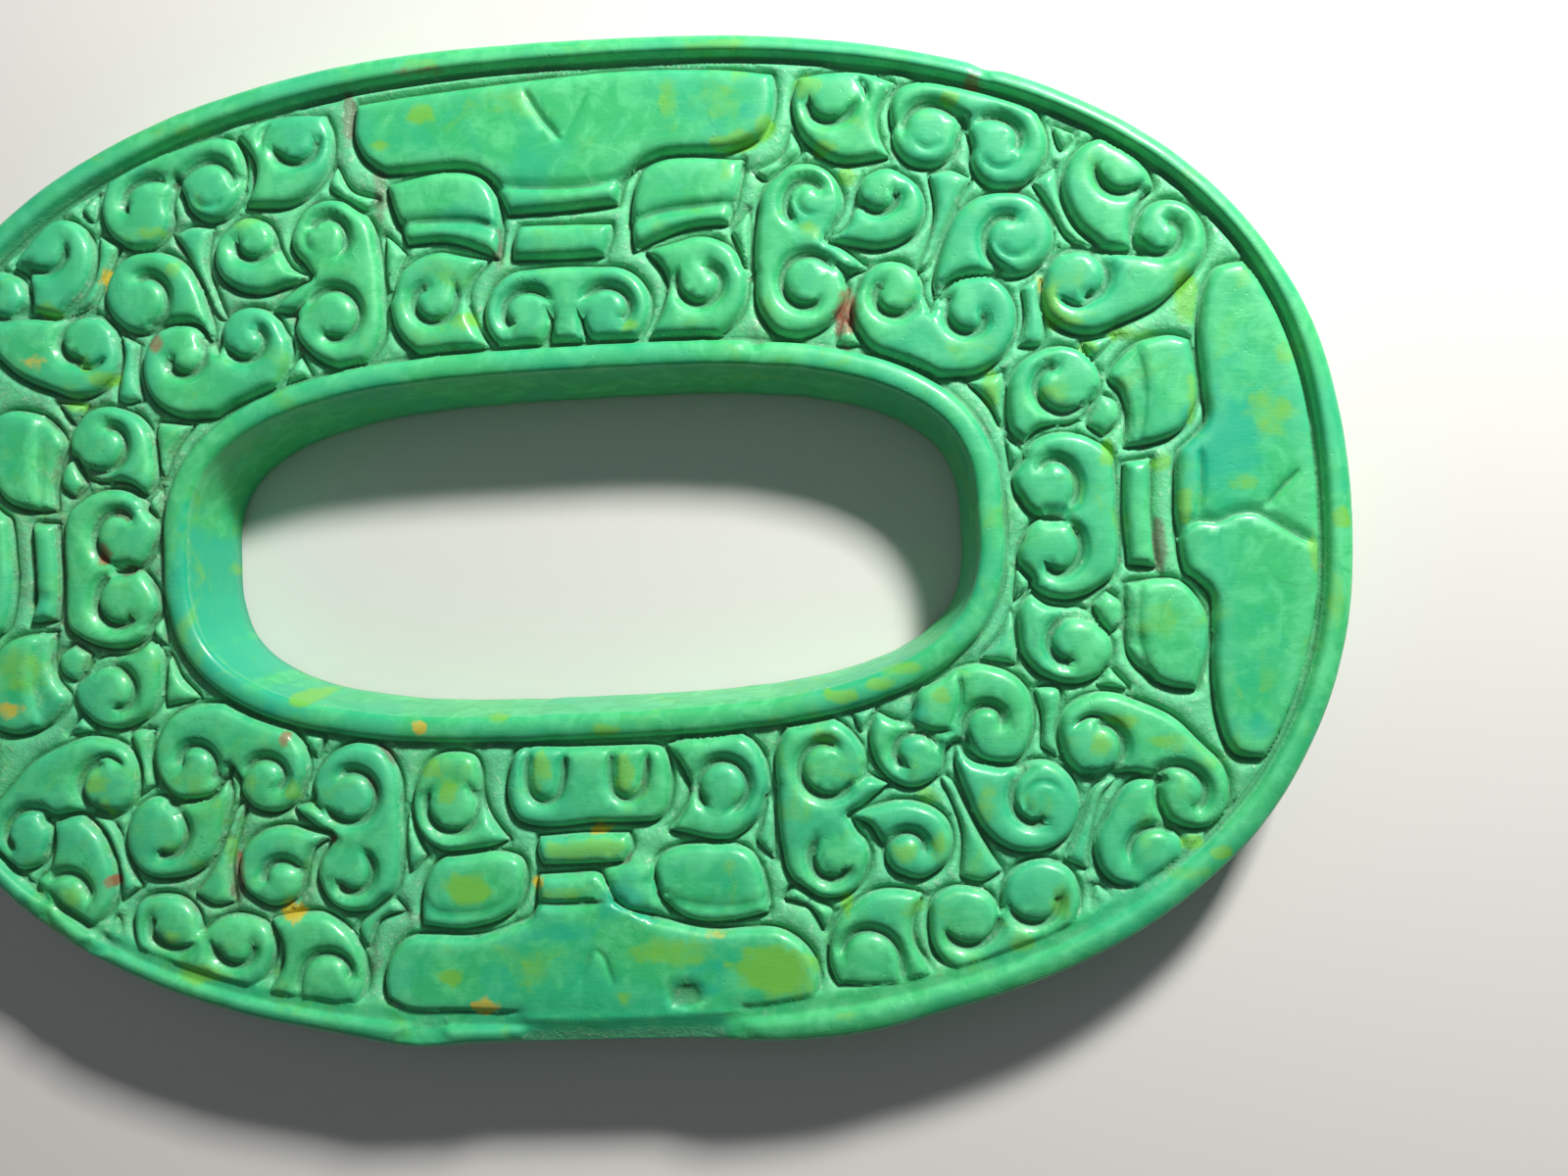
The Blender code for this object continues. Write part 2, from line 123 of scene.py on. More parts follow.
@dataclass(frozen=True)
class Motif:
    """One raised shape. A point with a third value is a sharp corner.

    A folded motif lists one half of its outline, from its axis back to its axis, and half of
    its grooves, but all of its lines. A motif in its true place is drawn where it lies on the
    ring, so it isn't moved with its neighbours.
    """

    outline: tuple
    heads: tuple[Head, ...] = ()
    grooves: tuple = ()
    lines: tuple[Line, ...] = ()
    fold: Fold = Fold.NONE
    rise: float = 1.0
    true_place: bool = False


@dataclass(frozen=True)
class Lip:
    """A shallow curved line on a head: its radius as a share of the head's, and its angles."""

    head: int
    share: float
    start: float
    end: float


@dataclass(frozen=True)
class Patch:
    """A coloured patch: its middle and half sizes in millimetres, and how strong it is."""

    x: float
    y: float
    half_x: float
    half_y: float
    strength: float


@dataclass(frozen=True)
class Wear:
    """A worn, or with a depth below zero a swollen, place of the outer edge.

    The place and half length are measured along X, on the side of the X axis that is given.
    All the lengths are in millimetres.
    """

    place: float
    side: int
    half: float
    depth: float


@dataclass(frozen=True)
class Chip:
    """A small break, or with a depth below zero a lump.

    Its middle, half sizes and depth are in millimetres.
    """

    x: float
    y: float
    half_x: float
    half_y: float
    depth: float


def carved(*outline: tuple, **rest: object) -> Motif:
    """A raised shape of the mirrored layout."""
    return Motif(outline, **rest)


def in_place(*outline: tuple, **rest: object) -> Motif:
    """A raised shape that is drawn where it lies on the ring."""
    return Motif(outline, true_place=True, **rest)


def curl(x: float, y: float, radius: float, *groove: tuple[float, float]) -> Head:
    """The head of a scroll."""
    return Head(x, y, radius, groove)


def score(left: float, right: float, depth: float, steep: int, *points: tuple) -> Line:
    """A groove or step of its own form."""
    return Line(points, left, right, depth, steep)


def leaf(*outline: tuple) -> Motif:
    """A small plain shape between the scrolls, lower than they are."""
    return Motif(outline, rise=0.72)


MOTIFS: dict[str, Motif] = {
    "rim_crescent": carved(
        (32.6, 90.4, 1), (31.6, 85.8), (32.2, 79.8), (34.4, 75.3), (38.2, 72.3), (44.4, 73, 1), (43, 77.5),
        (43.1, 82.1), (45.6, 87.7, 1), (41.9, 90.1), (37.4, 91),
        heads=(curl(36.3, 85.8, 3.4, (198, 1.1), (225, 1.32), (270, 1.5), (342, 1.7)),),
        grooves=(((40.1, 89.5), (41.4, 87), (41.6, 84.1)),),
    ),
    "rim_pair": carved(
        (44.7, 78.8), (44.7, 83.5), (46.2, 86.9), (49.6, 87.6), (57.2, 84.4),
        Turn(1, 50, -190, (6.9, 5.8, 5, 3.8)), (54.5, 79.4, 1), Turn(0, -12, -200, (3.9, 4.3, 5)),
        heads=(
            curl(
                49.6, 76.5, 3.6, (8, 2.5), (14, 2.1), (32, 1.85), (60, 1.75), (105, 1.75), (140, 1.62),
                (172, 1.4),
            ),
            curl(59, 72.6, 3.5, (10, 0.95), (33, 1.22), (60, 1.5), (100, 1.9), (138, 2.3)),
        ),
    ),
    "inner_pair": carved(
        Turn(0, 187, -50, (7.4, 5.6, 4.2, 4.2)), (35.3, 57.4, 1), (38, 54.8), (40.7, 51.2, 1),
        Turn(1, 5, -182, (5.1, 6, 8, 7)), (25.8, 57),
        heads=(
            curl(33.7, 65, 3.3, (62, 0.85), (95, 1.1), (140, 1.38), (200, 1.52), (228, 1.6)),
            curl(32.7, 48.9, 3.2, (22, 1.6), (90, 1.55), (230, 1.5), (275, 1.4), (300, 1.2)),
        ),
        grooves=(((36.1, 52.5), (37.6, 50.4), (38.6, 49.1)),),
    ),
    "hook": carved(
        Turn(0, 183, -119, (3.4, 2.9, 3.6, 7, 8.2)), (35.3, 57.2, 1), (37.9, 59.3), (39.1, 62.7),
        heads=(curl(43.1, 66.3, 3, (186, 1.55), (230, 1.42), (270, 1.28), (305, 1.08), (338, 0.8)),),
    ),
    "border_pair": carved(
        Turn(0, -7, 260, (3.9, 4.2, 4.9, 8.6)), (47.4, 29.3), Turn(1, -98, 148, (8.4, 6.5, 5.5, 4.6)),
        (48.8, 41.5, 1),
        heads=(
            curl(44, 45.9, 3, (155, 0.82), (190, 1.05), (230, 1.25), (290, 1.4), (345, 1.45)),
            curl(
                53.7, 40.9, 2.9, (125, 1.4), (160, 1.28), (220, 1.22), (290, 1.18), (320, 1.05),
                (340, 0.82),
            ),
        ),
    ),
    "comma": carved(
        Turn(0, -125, 179, (5.3, 4.8, 5.3, 6.6, 9.5)), (49.3, 47.9), (49.7, 43.6, 1), (51.7, 47.4),
        heads=(curl(60.3, 54.9, 3.9, (95, 1.12), (120, 1.42), (160, 1.65), (210, 1.8), (262, 1.9)),),
    ),
    "mask_crescent": carved(
        Turn(0, 70, 306, (4.5, 4.3, 6.3, 7.9)), (78.3, 39.9), Turn(1, -64, 226, (7, 5.7, 4.5, 3.3, 3.7)),
        (73, 50.9),
        heads=(
            curl(68.4, 46.2, 3.6, (-70, 1.15), (-40, 1.35), (0, 1.5), (60, 1.62), (128, 1.75)),
            curl(
                79.2, 54.3, 3, (-172, 1.38), (-120, 1.32), (-60, 1.22), (0, 1.02), (28, 0.85), (46, 0.68),
            ),
        ),
        grooves=(((65.5, 42.6), (68, 40.7), (70.6, 42.3)),),
    ),
    "rim_comma": carved(
        Turn(0, 239, 75, (9.9, 7.7, 5.3, 2.7)), (78.1, 66.7), (78.7, 63.2, 1), (76.6, 60.7), (75.3, 55.8),
        (75.4, 51.5, 1), (72.2, 51.6),
        heads=(curl(74.6, 67.5, 3.1, (172, 1.45), (230, 1.48), (280, 1.48), (320, 1.52)),),
    ),
    "tongue": leaf(
        (62.9, 66, 1), (66, 68.8, 1), (66.5, 62.5), (68.3, 56.2), (71, 52.3), (68.7, 53.1), (66.8, 55.2),
        (65.4, 59.9),
    ),
    "fishtail": leaf(
        (49.4, 69, 1), (52.3, 69.6), (55, 67.6, 1), (53.3, 63.9), (50.8, 57.2), (48.7, 50.8),
        (46.9, 49.5, 1), (48.6, 54.7), (49.9, 61.4),
    ),
    "leaf_forehead": leaf(
        (26.1, 72.2, 1), (29.6, 74.6), (31.3, 79.7, 1), (32.5, 75.5), (30.4, 73), (27.9, 70.1),
    ),
    "leaf_rim": leaf((65.9, 77.3, 1), (68.9, 75, 1), (66.9, 72.1)),
    "leaf_border": leaf((37.3, 41.5, 1), (39.5, 36, 1), (35.8, 36, 1)),
    "leaf_mask": leaf((68.7, 34.1, 1), (72.8, 34.8, 1), (70.1, 30.3, 1)),
    "leaf_middle": leaf(
        (60.8, 45.2, 1), (63.7, 48.2, 1), (63.2, 42.7), (63.7, 34.7), (60.3, 33.9, 1), (61.1, 39.6),
    ),
    "leaf_corner": leaf((53.2, 27.4, 1), (58.1, 29.1, 1), (58.5, 24.5), (57.7, 18, 1), (56.1, 23.1)),
    "long_forehead": carved(
        (0, 94.8, 1), (10.5, 94.9), (21.1, 94.4), (30.4, 92.2, 1), (30.8, 86.3), (29.2, 80.9),
        (26.4, 77.1), (22.5, 76.4), (16.5, 76.8), (11.9, 75.4), (9.2, 72.5), (8.1, 67.5, 1), (0, 67.5, 1),
        grooves=(((0, 80.4), (2, 85), (4.2, 91.4)),), fold=Fold.ACROSS_X,
    ),
    "long_eye": carved(
        (11.1, 73.9), (13.9, 75.9), (17.8, 76.1), (24.9, 74.7, 1), (24.2, 68.9), (22.6, 62, 1),
        (17.3, 61.8), (12.6, 59.7), (9.7, 57.8, 1), (9.3, 63.6), (9.8, 69.5),
        lines=(score(0.4, 0.8, 0.32, 1, (9.7, 63.3), (12.8, 65), (17.5, 65.7), (23.6, 65.8)),),
    ),
    "long_nose": carved((0, 64.7, 1), (5.9, 64.5, 1), (4.7, 57.9, 1), (0, 57.4, 1), fold=Fold.ACROSS_X),
    "long_mouth": carved(
        (0, 55.8, 1), Turn(0, 100, -177, (7, 5.6, 4.5, 3.9)), (3, 39.4, 1), (0, 39.3, 1),
        heads=(
            curl(6.5, 45, 3.2, (-18, 0.95), (8, 1.18), (40, 1.36), (80, 1.5), (120, 1.65), (152, 1.85)),
        ),
        fold=Fold.ACROSS_X,
    ),
    "long_cheek": carved(
        (11.2, 57.7, 1), Turn(0, 113, -79, (6.5, 6.3, 6.4, 7.7)), (11.6, 40, 1), (13, 44.2), (14.1, 49.9),
        (13.4, 53.9),
        heads=(
            curl(
                18.5, 50.5, 3.1, (146, 1.5), (175, 1.35), (220, 1.28), (280, 1.27), (345, 1.22),
                (388, 1.1), (412, 0.9),
            ),
        ),
    ),
    "leaf_cheek": leaf((22.8, 60.4, 1), (25.3, 64.5, 1), (25.3, 57.1), (24.8, 50.8, 1), (24, 56.2)),
    "short_forehead": carved(
        (98.3, 0, 1), (98.2, 6.2), (97.3, 19.5), (95.1, 32), (92.1, 42.3), (89.6, 47.9, 1), (86, 46.7),
        (84.1, 41.6), (83.1, 33.1), (83.3, 23.6), (83.5, 16.9), (81.6, 13.3), (80.1, 11.2), (79.5, 0, 1),
        grooves=(((90.9, 0), (93.5, 3.4), (95.8, 7)),), fold=Fold.ACROSS_Y,
    ),
    "short_eye": carved(
        (73.1, 30.4), (75.5, 32.9), (79.3, 34), (82, 32.8, 1), (82.6, 26.5), (82.6, 20.4), (80.5, 15.3),
        (77.2, 13.3), (73.4, 12.9, 1), (73.5, 18.7), (72.8, 23.2), (71.6, 26.7),
        lines=(score(0.35, 3.5, 0.28, 1, (74.9, 32.5), (75.4, 27.2), (75.6, 22.4), (75, 13.4)),),
    ),
    "short_nose": carved((72.9, 0, 1), (73.3, 10.2, 1), (76.8, 10.7, 1), (76.4, 0, 1), fold=Fold.ACROSS_Y),
    "short_mouth": carved(
        (72.1, 0, 1), (72.2, 6.5), (71.7, 11.9), Turn(0, 44, 291, (8.4, 5.1, 3.9, 5)),
        heads=(
            curl(63.1, 6.5, 3.8, (-55, 1.8), (-20, 1.68), (20, 1.6), (58, 1.52), (82, 1.35), (100, 1.08)),
        ),
        fold=Fold.ACROSS_Y,
    ),
    "short_cheek": carved(
        Turn(0, 197, -103, (7.9, 5.5, 5, 4.8, 5.2)), (62.5, 17.6), (60.4, 15.1, 1), (58.8, 17.5),
        heads=(curl(66, 25.9, 3.5, (116, 1.08), (140, 1.32), (180, 1.48), (250, 1.58), (322, 1.68)),),
    ),
    "leaf_eye": leaf((70.1, 24.2, 1), (72.3, 21.7), (72.6, 17.9), (70.7, 15.4, 1), (68.8, 17.8, 1)),
    "leaf_hole": leaf((58.1, 16.4, 1), (60.8, 12.8, 1), (58.6, 9.5, 1)),
}

# Shapes that differ from their mirror images, by quarter or by the quarter that a fold starts in
VARIANTS: dict[tuple[str, int, int], Motif] = {
    ("long_forehead", 1, 1): in_place(
        (-28.3, 91.5, 1), (-28.7, 87.9), (-28.7, 84.5), (-27.5, 80.4), (-24.9, 77.2), (-21.7, 76.9),
        (-17.6, 77), (-13.1, 75.8), (-10.5, 73.4), (-8.7, 70.1), (-7.8, 66.8, 1), (0, 66.8),
        (7.5, 67.4, 1), (8.3, 71.6), (10.5, 74.8), (13.7, 76.5), (17.6, 76.5), (22, 76.3), (25.1, 77.3),
        (27.8, 79.6), (29.1, 83.4), (29.5, 88), (29.2, 91.4, 1), (23.5, 92.9), (14.7, 94.1), (5.9, 94.5),
        (-3.1, 94), (-12.1, 93.3), (-21.2, 92.5),
        lines=(
            score(0.7, 0.4, 0.3, 0, (-10.4, 72.6), (-5.6, 71.6), (0.2, 71), (5.1, 71.2), (9.9, 72.4)),
            score(0.45, 0.22, 0.24, -1, (-4.5, 90.8), (-2.5, 85.6), (0.1, 80.6)),
            score(0.3, 0.3, 0.12, 0, (0.1, 80.6), (2.1, 84.8), (4, 90.2)),
        ),
    ),
    ("long_nose", 1, 1): in_place(
        (-6.6, 63.5, 1), (-5.9, 64.3), (0.4, 64), (6.4, 63.5, 1), (6.3, 60.9), (5.3, 57.1, 1),
        (-0.3, 57.1), (-7.4, 57.6, 1), (-7.2, 61),
    ),
    ("short_forehead", 1, 1): replace(
        MOTIFS["short_forehead"], grooves=(),
        lines=(
            score(
                0.7, 0.28, 0.3, -1, (79.7, -5), (81.9, -2.2), (84.6, -2.5), (87, -1.2), (89.7, -1.2),
                (91.9, -3.1), (94.1, -5.2), (96.8, -7.6),
            ),
            score(0.25, 0.5, 0.26, 1, (90.7, -0.6), (92.6, 2.7), (95.3, 6.3)),
            score(0.45, 0.3, 0.24, 0, (82.8, 10.9), (82.8, 3.9), (82, -2)),
        ),
    ),
    ("long_forehead", 1, -1): in_place(
        (-28.8, 89.9, 1), (-29, 85.4), (-27.9, 80.9), (-25.3, 77.7), (-21.3, 77.4), (-15.9, 77.8),
        (-11, 75.9), (-8.2, 73.7), (-7.3, 66.2, 1), (-3.2, 66), (0.8, 66.1), (2.2, 69.2), (3.4, 72.6),
        (7.2, 74.9), (11.5, 76.6), (16.1, 78), (20.4, 78), (24.3, 78.2), (27.2, 80.4), (29.1, 83.7),
        (29.9, 87.8), (29.5, 92.2, 1), (19.9, 94.1), (9, 94), (0.3, 94.3), (-8.5, 94), (-17.3, 93.2),
        (-25.3, 92.6),
        lines=(
            score(0.4, 0.45, 0.42, 0, (-9, 71.3), (-5.2, 72), (-0.8, 72), (2.6, 71.4)),
            score(0.3, 0.3, 0.14, 0, (-2.1, 87.4), (-0.5, 82.2), (0.3, 81.4)),
            score(0.3, 0.3, 0.14, 0, (0.3, 81.4), (1.2, 82.4), (2.3, 87.6)),
        ),
    ),
    ("long_eye", 1, -1): in_place(
        (8.7, 64.5), (10.1, 62.4), (12.8, 61.2), (16.7, 61), (19.7, 61.6), (21.7, 63.4), (22.8, 66.5),
        (23.5, 71), (23.6, 75.2, 1), (19.2, 76.5), (15.3, 76.7), (12.3, 75.6), (10, 72.9), (8.9, 69.7),
        lines=(
            score(0.75, 0.45, 0.15, -1, (9.4, 69.3), (11.3, 72), (16.5, 73.6), (22.2, 73.1), (23.6, 71.5)),
        ),
    ),
    ("long_nose", 1, -1): in_place(
        (-7, 58.6, 1), (-1.1, 58.2), (5.2, 58.5, 1), (5.6, 61.5), (4.4, 64.2, 1), (-1.3, 64.5),
        (-6.7, 64.4, 1), (-7.4, 61.5),
    ),
    ("long_mouth", 1, -1): in_place(
        (-9.8, 41.6), (-10.8, 45.4), (-11.2, 49.6), (-10.5, 53.9), (-8.6, 56.2), (-4.6, 56.9), (0.7, 56.4),
        (6, 56.6), (9.3, 56.1), (10.9, 52.8), (11.3, 47.7), (10.8, 43.1), (9.2, 41.3), (2.1, 41),
        (-2.3, 40.9), (-7.6, 40.6),
        lines=(
            score(
                0.36, 0.7, 0.52, 1, (-8, 42), (-8.4, 45.6), (-8.2, 49.1), (-7.1, 51.4), (-5.6, 51.9),
                (-4, 50.7), (-3.2, 47.2), (-2.9, 42.7),
            ),
            score(
                0.36, 0.7, 0.52, 1, (3.4, 42.7), (3.1, 46.2), (3.3, 49.8), (4.4, 51.6), (5.9, 51.9),
                (7.5, 50), (8.1, 46.5), (8.2, 43.3),
            ),
        ),
    ),
    ("rim_pair", 1, -1): in_place(
        (44.6, 80.9), (44.9, 74.3), (46.9, 71.7), (49.7, 71.2), (52.5, 72.7), (53.9, 75.9, 1), (54.8, 70),
        (57.5, 66.9), (60.6, 66.6), (63.4, 69), (64.4, 73.8), (63.6, 78.9), (60.6, 83), (56.1, 85.1),
        (51.6, 87.6), (47.8, 87.6), (45.7, 85.2),
        heads=(
            curl(49.9, 77.1, 2.9, (-5, 1.65), (40, 1.6), (90, 1.68), (130, 1.7), (155, 1.6)),
            curl(59.4, 73, 2.9, (20, 0.9), (45, 1.15), (70, 1.45), (100, 1.75), (140, 2), (165, 2)),
        ),
    ),
    ("border_pair", 1, -1): replace(
        MOTIFS["border_pair"],
        outline=(
            (38.8, 36.8), (40.8, 38.1), (42.7, 38.9), (43.8, 36.5), (44.2, 34), (45.3, 31.9), (47.5, 30.4),
            (50.1, 28.6), (53.1, 28.1), (56.8, 30.1), (59, 33.7), (59.6, 38.8), (59, 43.2), (57.4, 46.9),
            (54.4, 48), (52, 46.2), (50.1, 43.9), (48.9, 43.2), (47.8, 45), (47.2, 48.8), (45.6, 50.9),
            (43.5, 51.9), (41.2, 51), (39.1, 48), (38.1, 44.5), (37.9, 40.6),
        ),
        heads=(
            curl(43.7, 45.7, 3, *MOTIFS["border_pair"].heads[0].groove),
            curl(53.4, 40.6, 2.9, *MOTIFS["border_pair"].heads[1].groove),
        ),
        lines=(
            score(0.4, 0.4, 0.5, 0, (42.5, 38), (43.6, 39.3), (46.4, 41.1), (48.7, 40.8)),
            score(0.4, 0.3, 0.3, 0, (50, 30.4), (50.2, 34.4), (49.5, 37.9), (48.6, 41)),
        ),
        true_place=True,
    ),
    ("long_cheek", 1, -1): replace(
        MOTIFS["long_cheek"],
        heads=(
            curl(
                18.5, 50.5, 3.1, (128, 1.5), (170, 1.42), (270, 1.42), (345, 1.4), (400, 1.4), (436, 1.45),
            ),
        ),
    ),
    ("mask_crescent", 1, -1): replace(
        MOTIFS["mask_crescent"],
        heads=(
            MOTIFS["mask_crescent"].heads[0],
            curl(
                79.2, 54.3, 3, (-150, 2.1), (-120, 1.9), (-90, 1.72), (-50, 1.42), (-15, 1.15), (25, 0.85),
            ),
        ),
    ),
    ("rim_comma", 1, -1): replace(
        MOTIFS["rim_comma"],
        outline=(
            (74.7, 52.3, 1), (72.7, 51.6), (70.6, 53.3), (68.3, 58.2), (66.6, 63.1), (66.8, 68.1),
            (68.6, 71.6), (71.4, 72.7), (73.9, 72.3), (76.3, 70.6), (77.5, 67.7), (77.8, 64.3), (77, 62.1),
            (75.9, 60.8, 1), (75, 57.3),
        ),
        heads=(curl(74.2, 66.3, 3.1, *MOTIFS["rim_comma"].heads[0].groove),), true_place=True,
    ),
    ("rim_crescent", 1, -1): replace(
        MOTIFS["rim_crescent"],
        heads=(
            curl(
                36.3, 85.8, 3.2, (196, 1.25), (225, 1.5), (270, 1.75), (315, 1.95), (350, 2.05),
                (375, 2.15), (392, 2.4),
            ),
        ),
        grooves=(),
    ),
    ("short_eye", 1, -1): replace(
        MOTIFS["short_eye"],
        outline=(
            (72.3, 13.7, 1), (78.4, 13.2), (81.4, 17), (82.8, 22.7), (82.3, 28.3), (80.7, 35, 1),
            (76.9, 34.1), (73.6, 30.8), (72, 26.7), (71.9, 20.1),
        ),
        lines=(score(0.35, 3.5, 0.28, 1, (75.2, 33), (73.6, 26.3), (73.5, 20.2), (74.1, 13.7)),),
        true_place=True,
    ),
    ("short_mouth", -1, 1): replace(
        MOTIFS["short_mouth"],
        heads=(
            curl(63.1, 6.5, 3.8, (-58, 1.8), (-25, 1.95), (15, 1.98), (50, 1.8), (78, 1.45), (100, 1.1)),
        ),
    ),
    ("long_eye", -1, -1): in_place(
        (23.5, 75.5, 1), (23.5, 71.3), (22.8, 66.2), (21, 62.7), (18.1, 61.2), (14.5, 61.1), (11, 61.7),
        (9.2, 63.6), (9.1, 68.2), (10, 72), (11.8, 74.3), (14.5, 75.8), (18.6, 76.6),
        lines=(
            score(0.45, 0.75, 0.15, 1, (22.6, 70), (21.2, 72.8), (16.7, 73.4), (12.4, 72), (10.2, 68.5)),
        ),
    ),
    ("long_cheek", -1, -1): in_place(
        (24.2, 51.2), (23.5, 46.6), (21.9, 42.8), (19.7, 41.1), (16.7, 41.2), (15.1, 42.7), (14.6, 45.9),
        (14.6, 49.1), (13.9, 53), (12.6, 56.3), (11.1, 59.1, 1), (13.6, 60.3), (16.7, 61.2), (19.4, 61.2),
        (22, 59.4), (23.7, 55.7),
        heads=(
            curl(18.7, 51.5, 3.1, (-35, 1.5), (0, 1.5), (60, 1.6), (120, 1.65), (180, 1.55), (222, 1.4)),
        ),
    ),
    ("mask_crescent", -1, -1): replace(
        MOTIFS["mask_crescent"],
        heads=(
            MOTIFS["mask_crescent"].heads[0],
            curl(79.2, 54.3, 3, (-150, 2), (-120, 1.85), (-90, 1.7), (-50, 1.42), (-15, 1.18), (25, 0.9)),
        ),
    ),
    ("rim_crescent", -1, -1): replace(
        MOTIFS["rim_crescent"],
        heads=(
            curl(
                36.3, 85.8, 3.2, (196, 1.15), (225, 1.35), (270, 1.58), (315, 1.8), (355, 1.9), (382, 2.1),
            ),
        ),
        grooves=(),
    ),
    ("rim_pair", -1, -1): in_place(
        (64, 74), (63.2, 69.1), (60, 67.5), (56.9, 68.4), (54.9, 71.5), (54.3, 75.6, 1), (51.9, 72.8),
        (48.8, 72), (45.4, 73.9), (44, 77.9), (45, 83.7), (47.5, 87), (52.3, 87.5), (56.4, 86.2),
        (60.4, 83.1), (63.1, 79.5),
        heads=(
            curl(49.2, 77.6, 2.9, (-5, 1.6), (40, 1.4), (90, 1.35), (130, 1.2), (158, 0.95)),
            curl(59.1, 72.6, 2.9, (5, 0.8), (30, 1.1), (60, 1.35), (100, 1.75), (140, 2.2)),
        ),
    ),
}

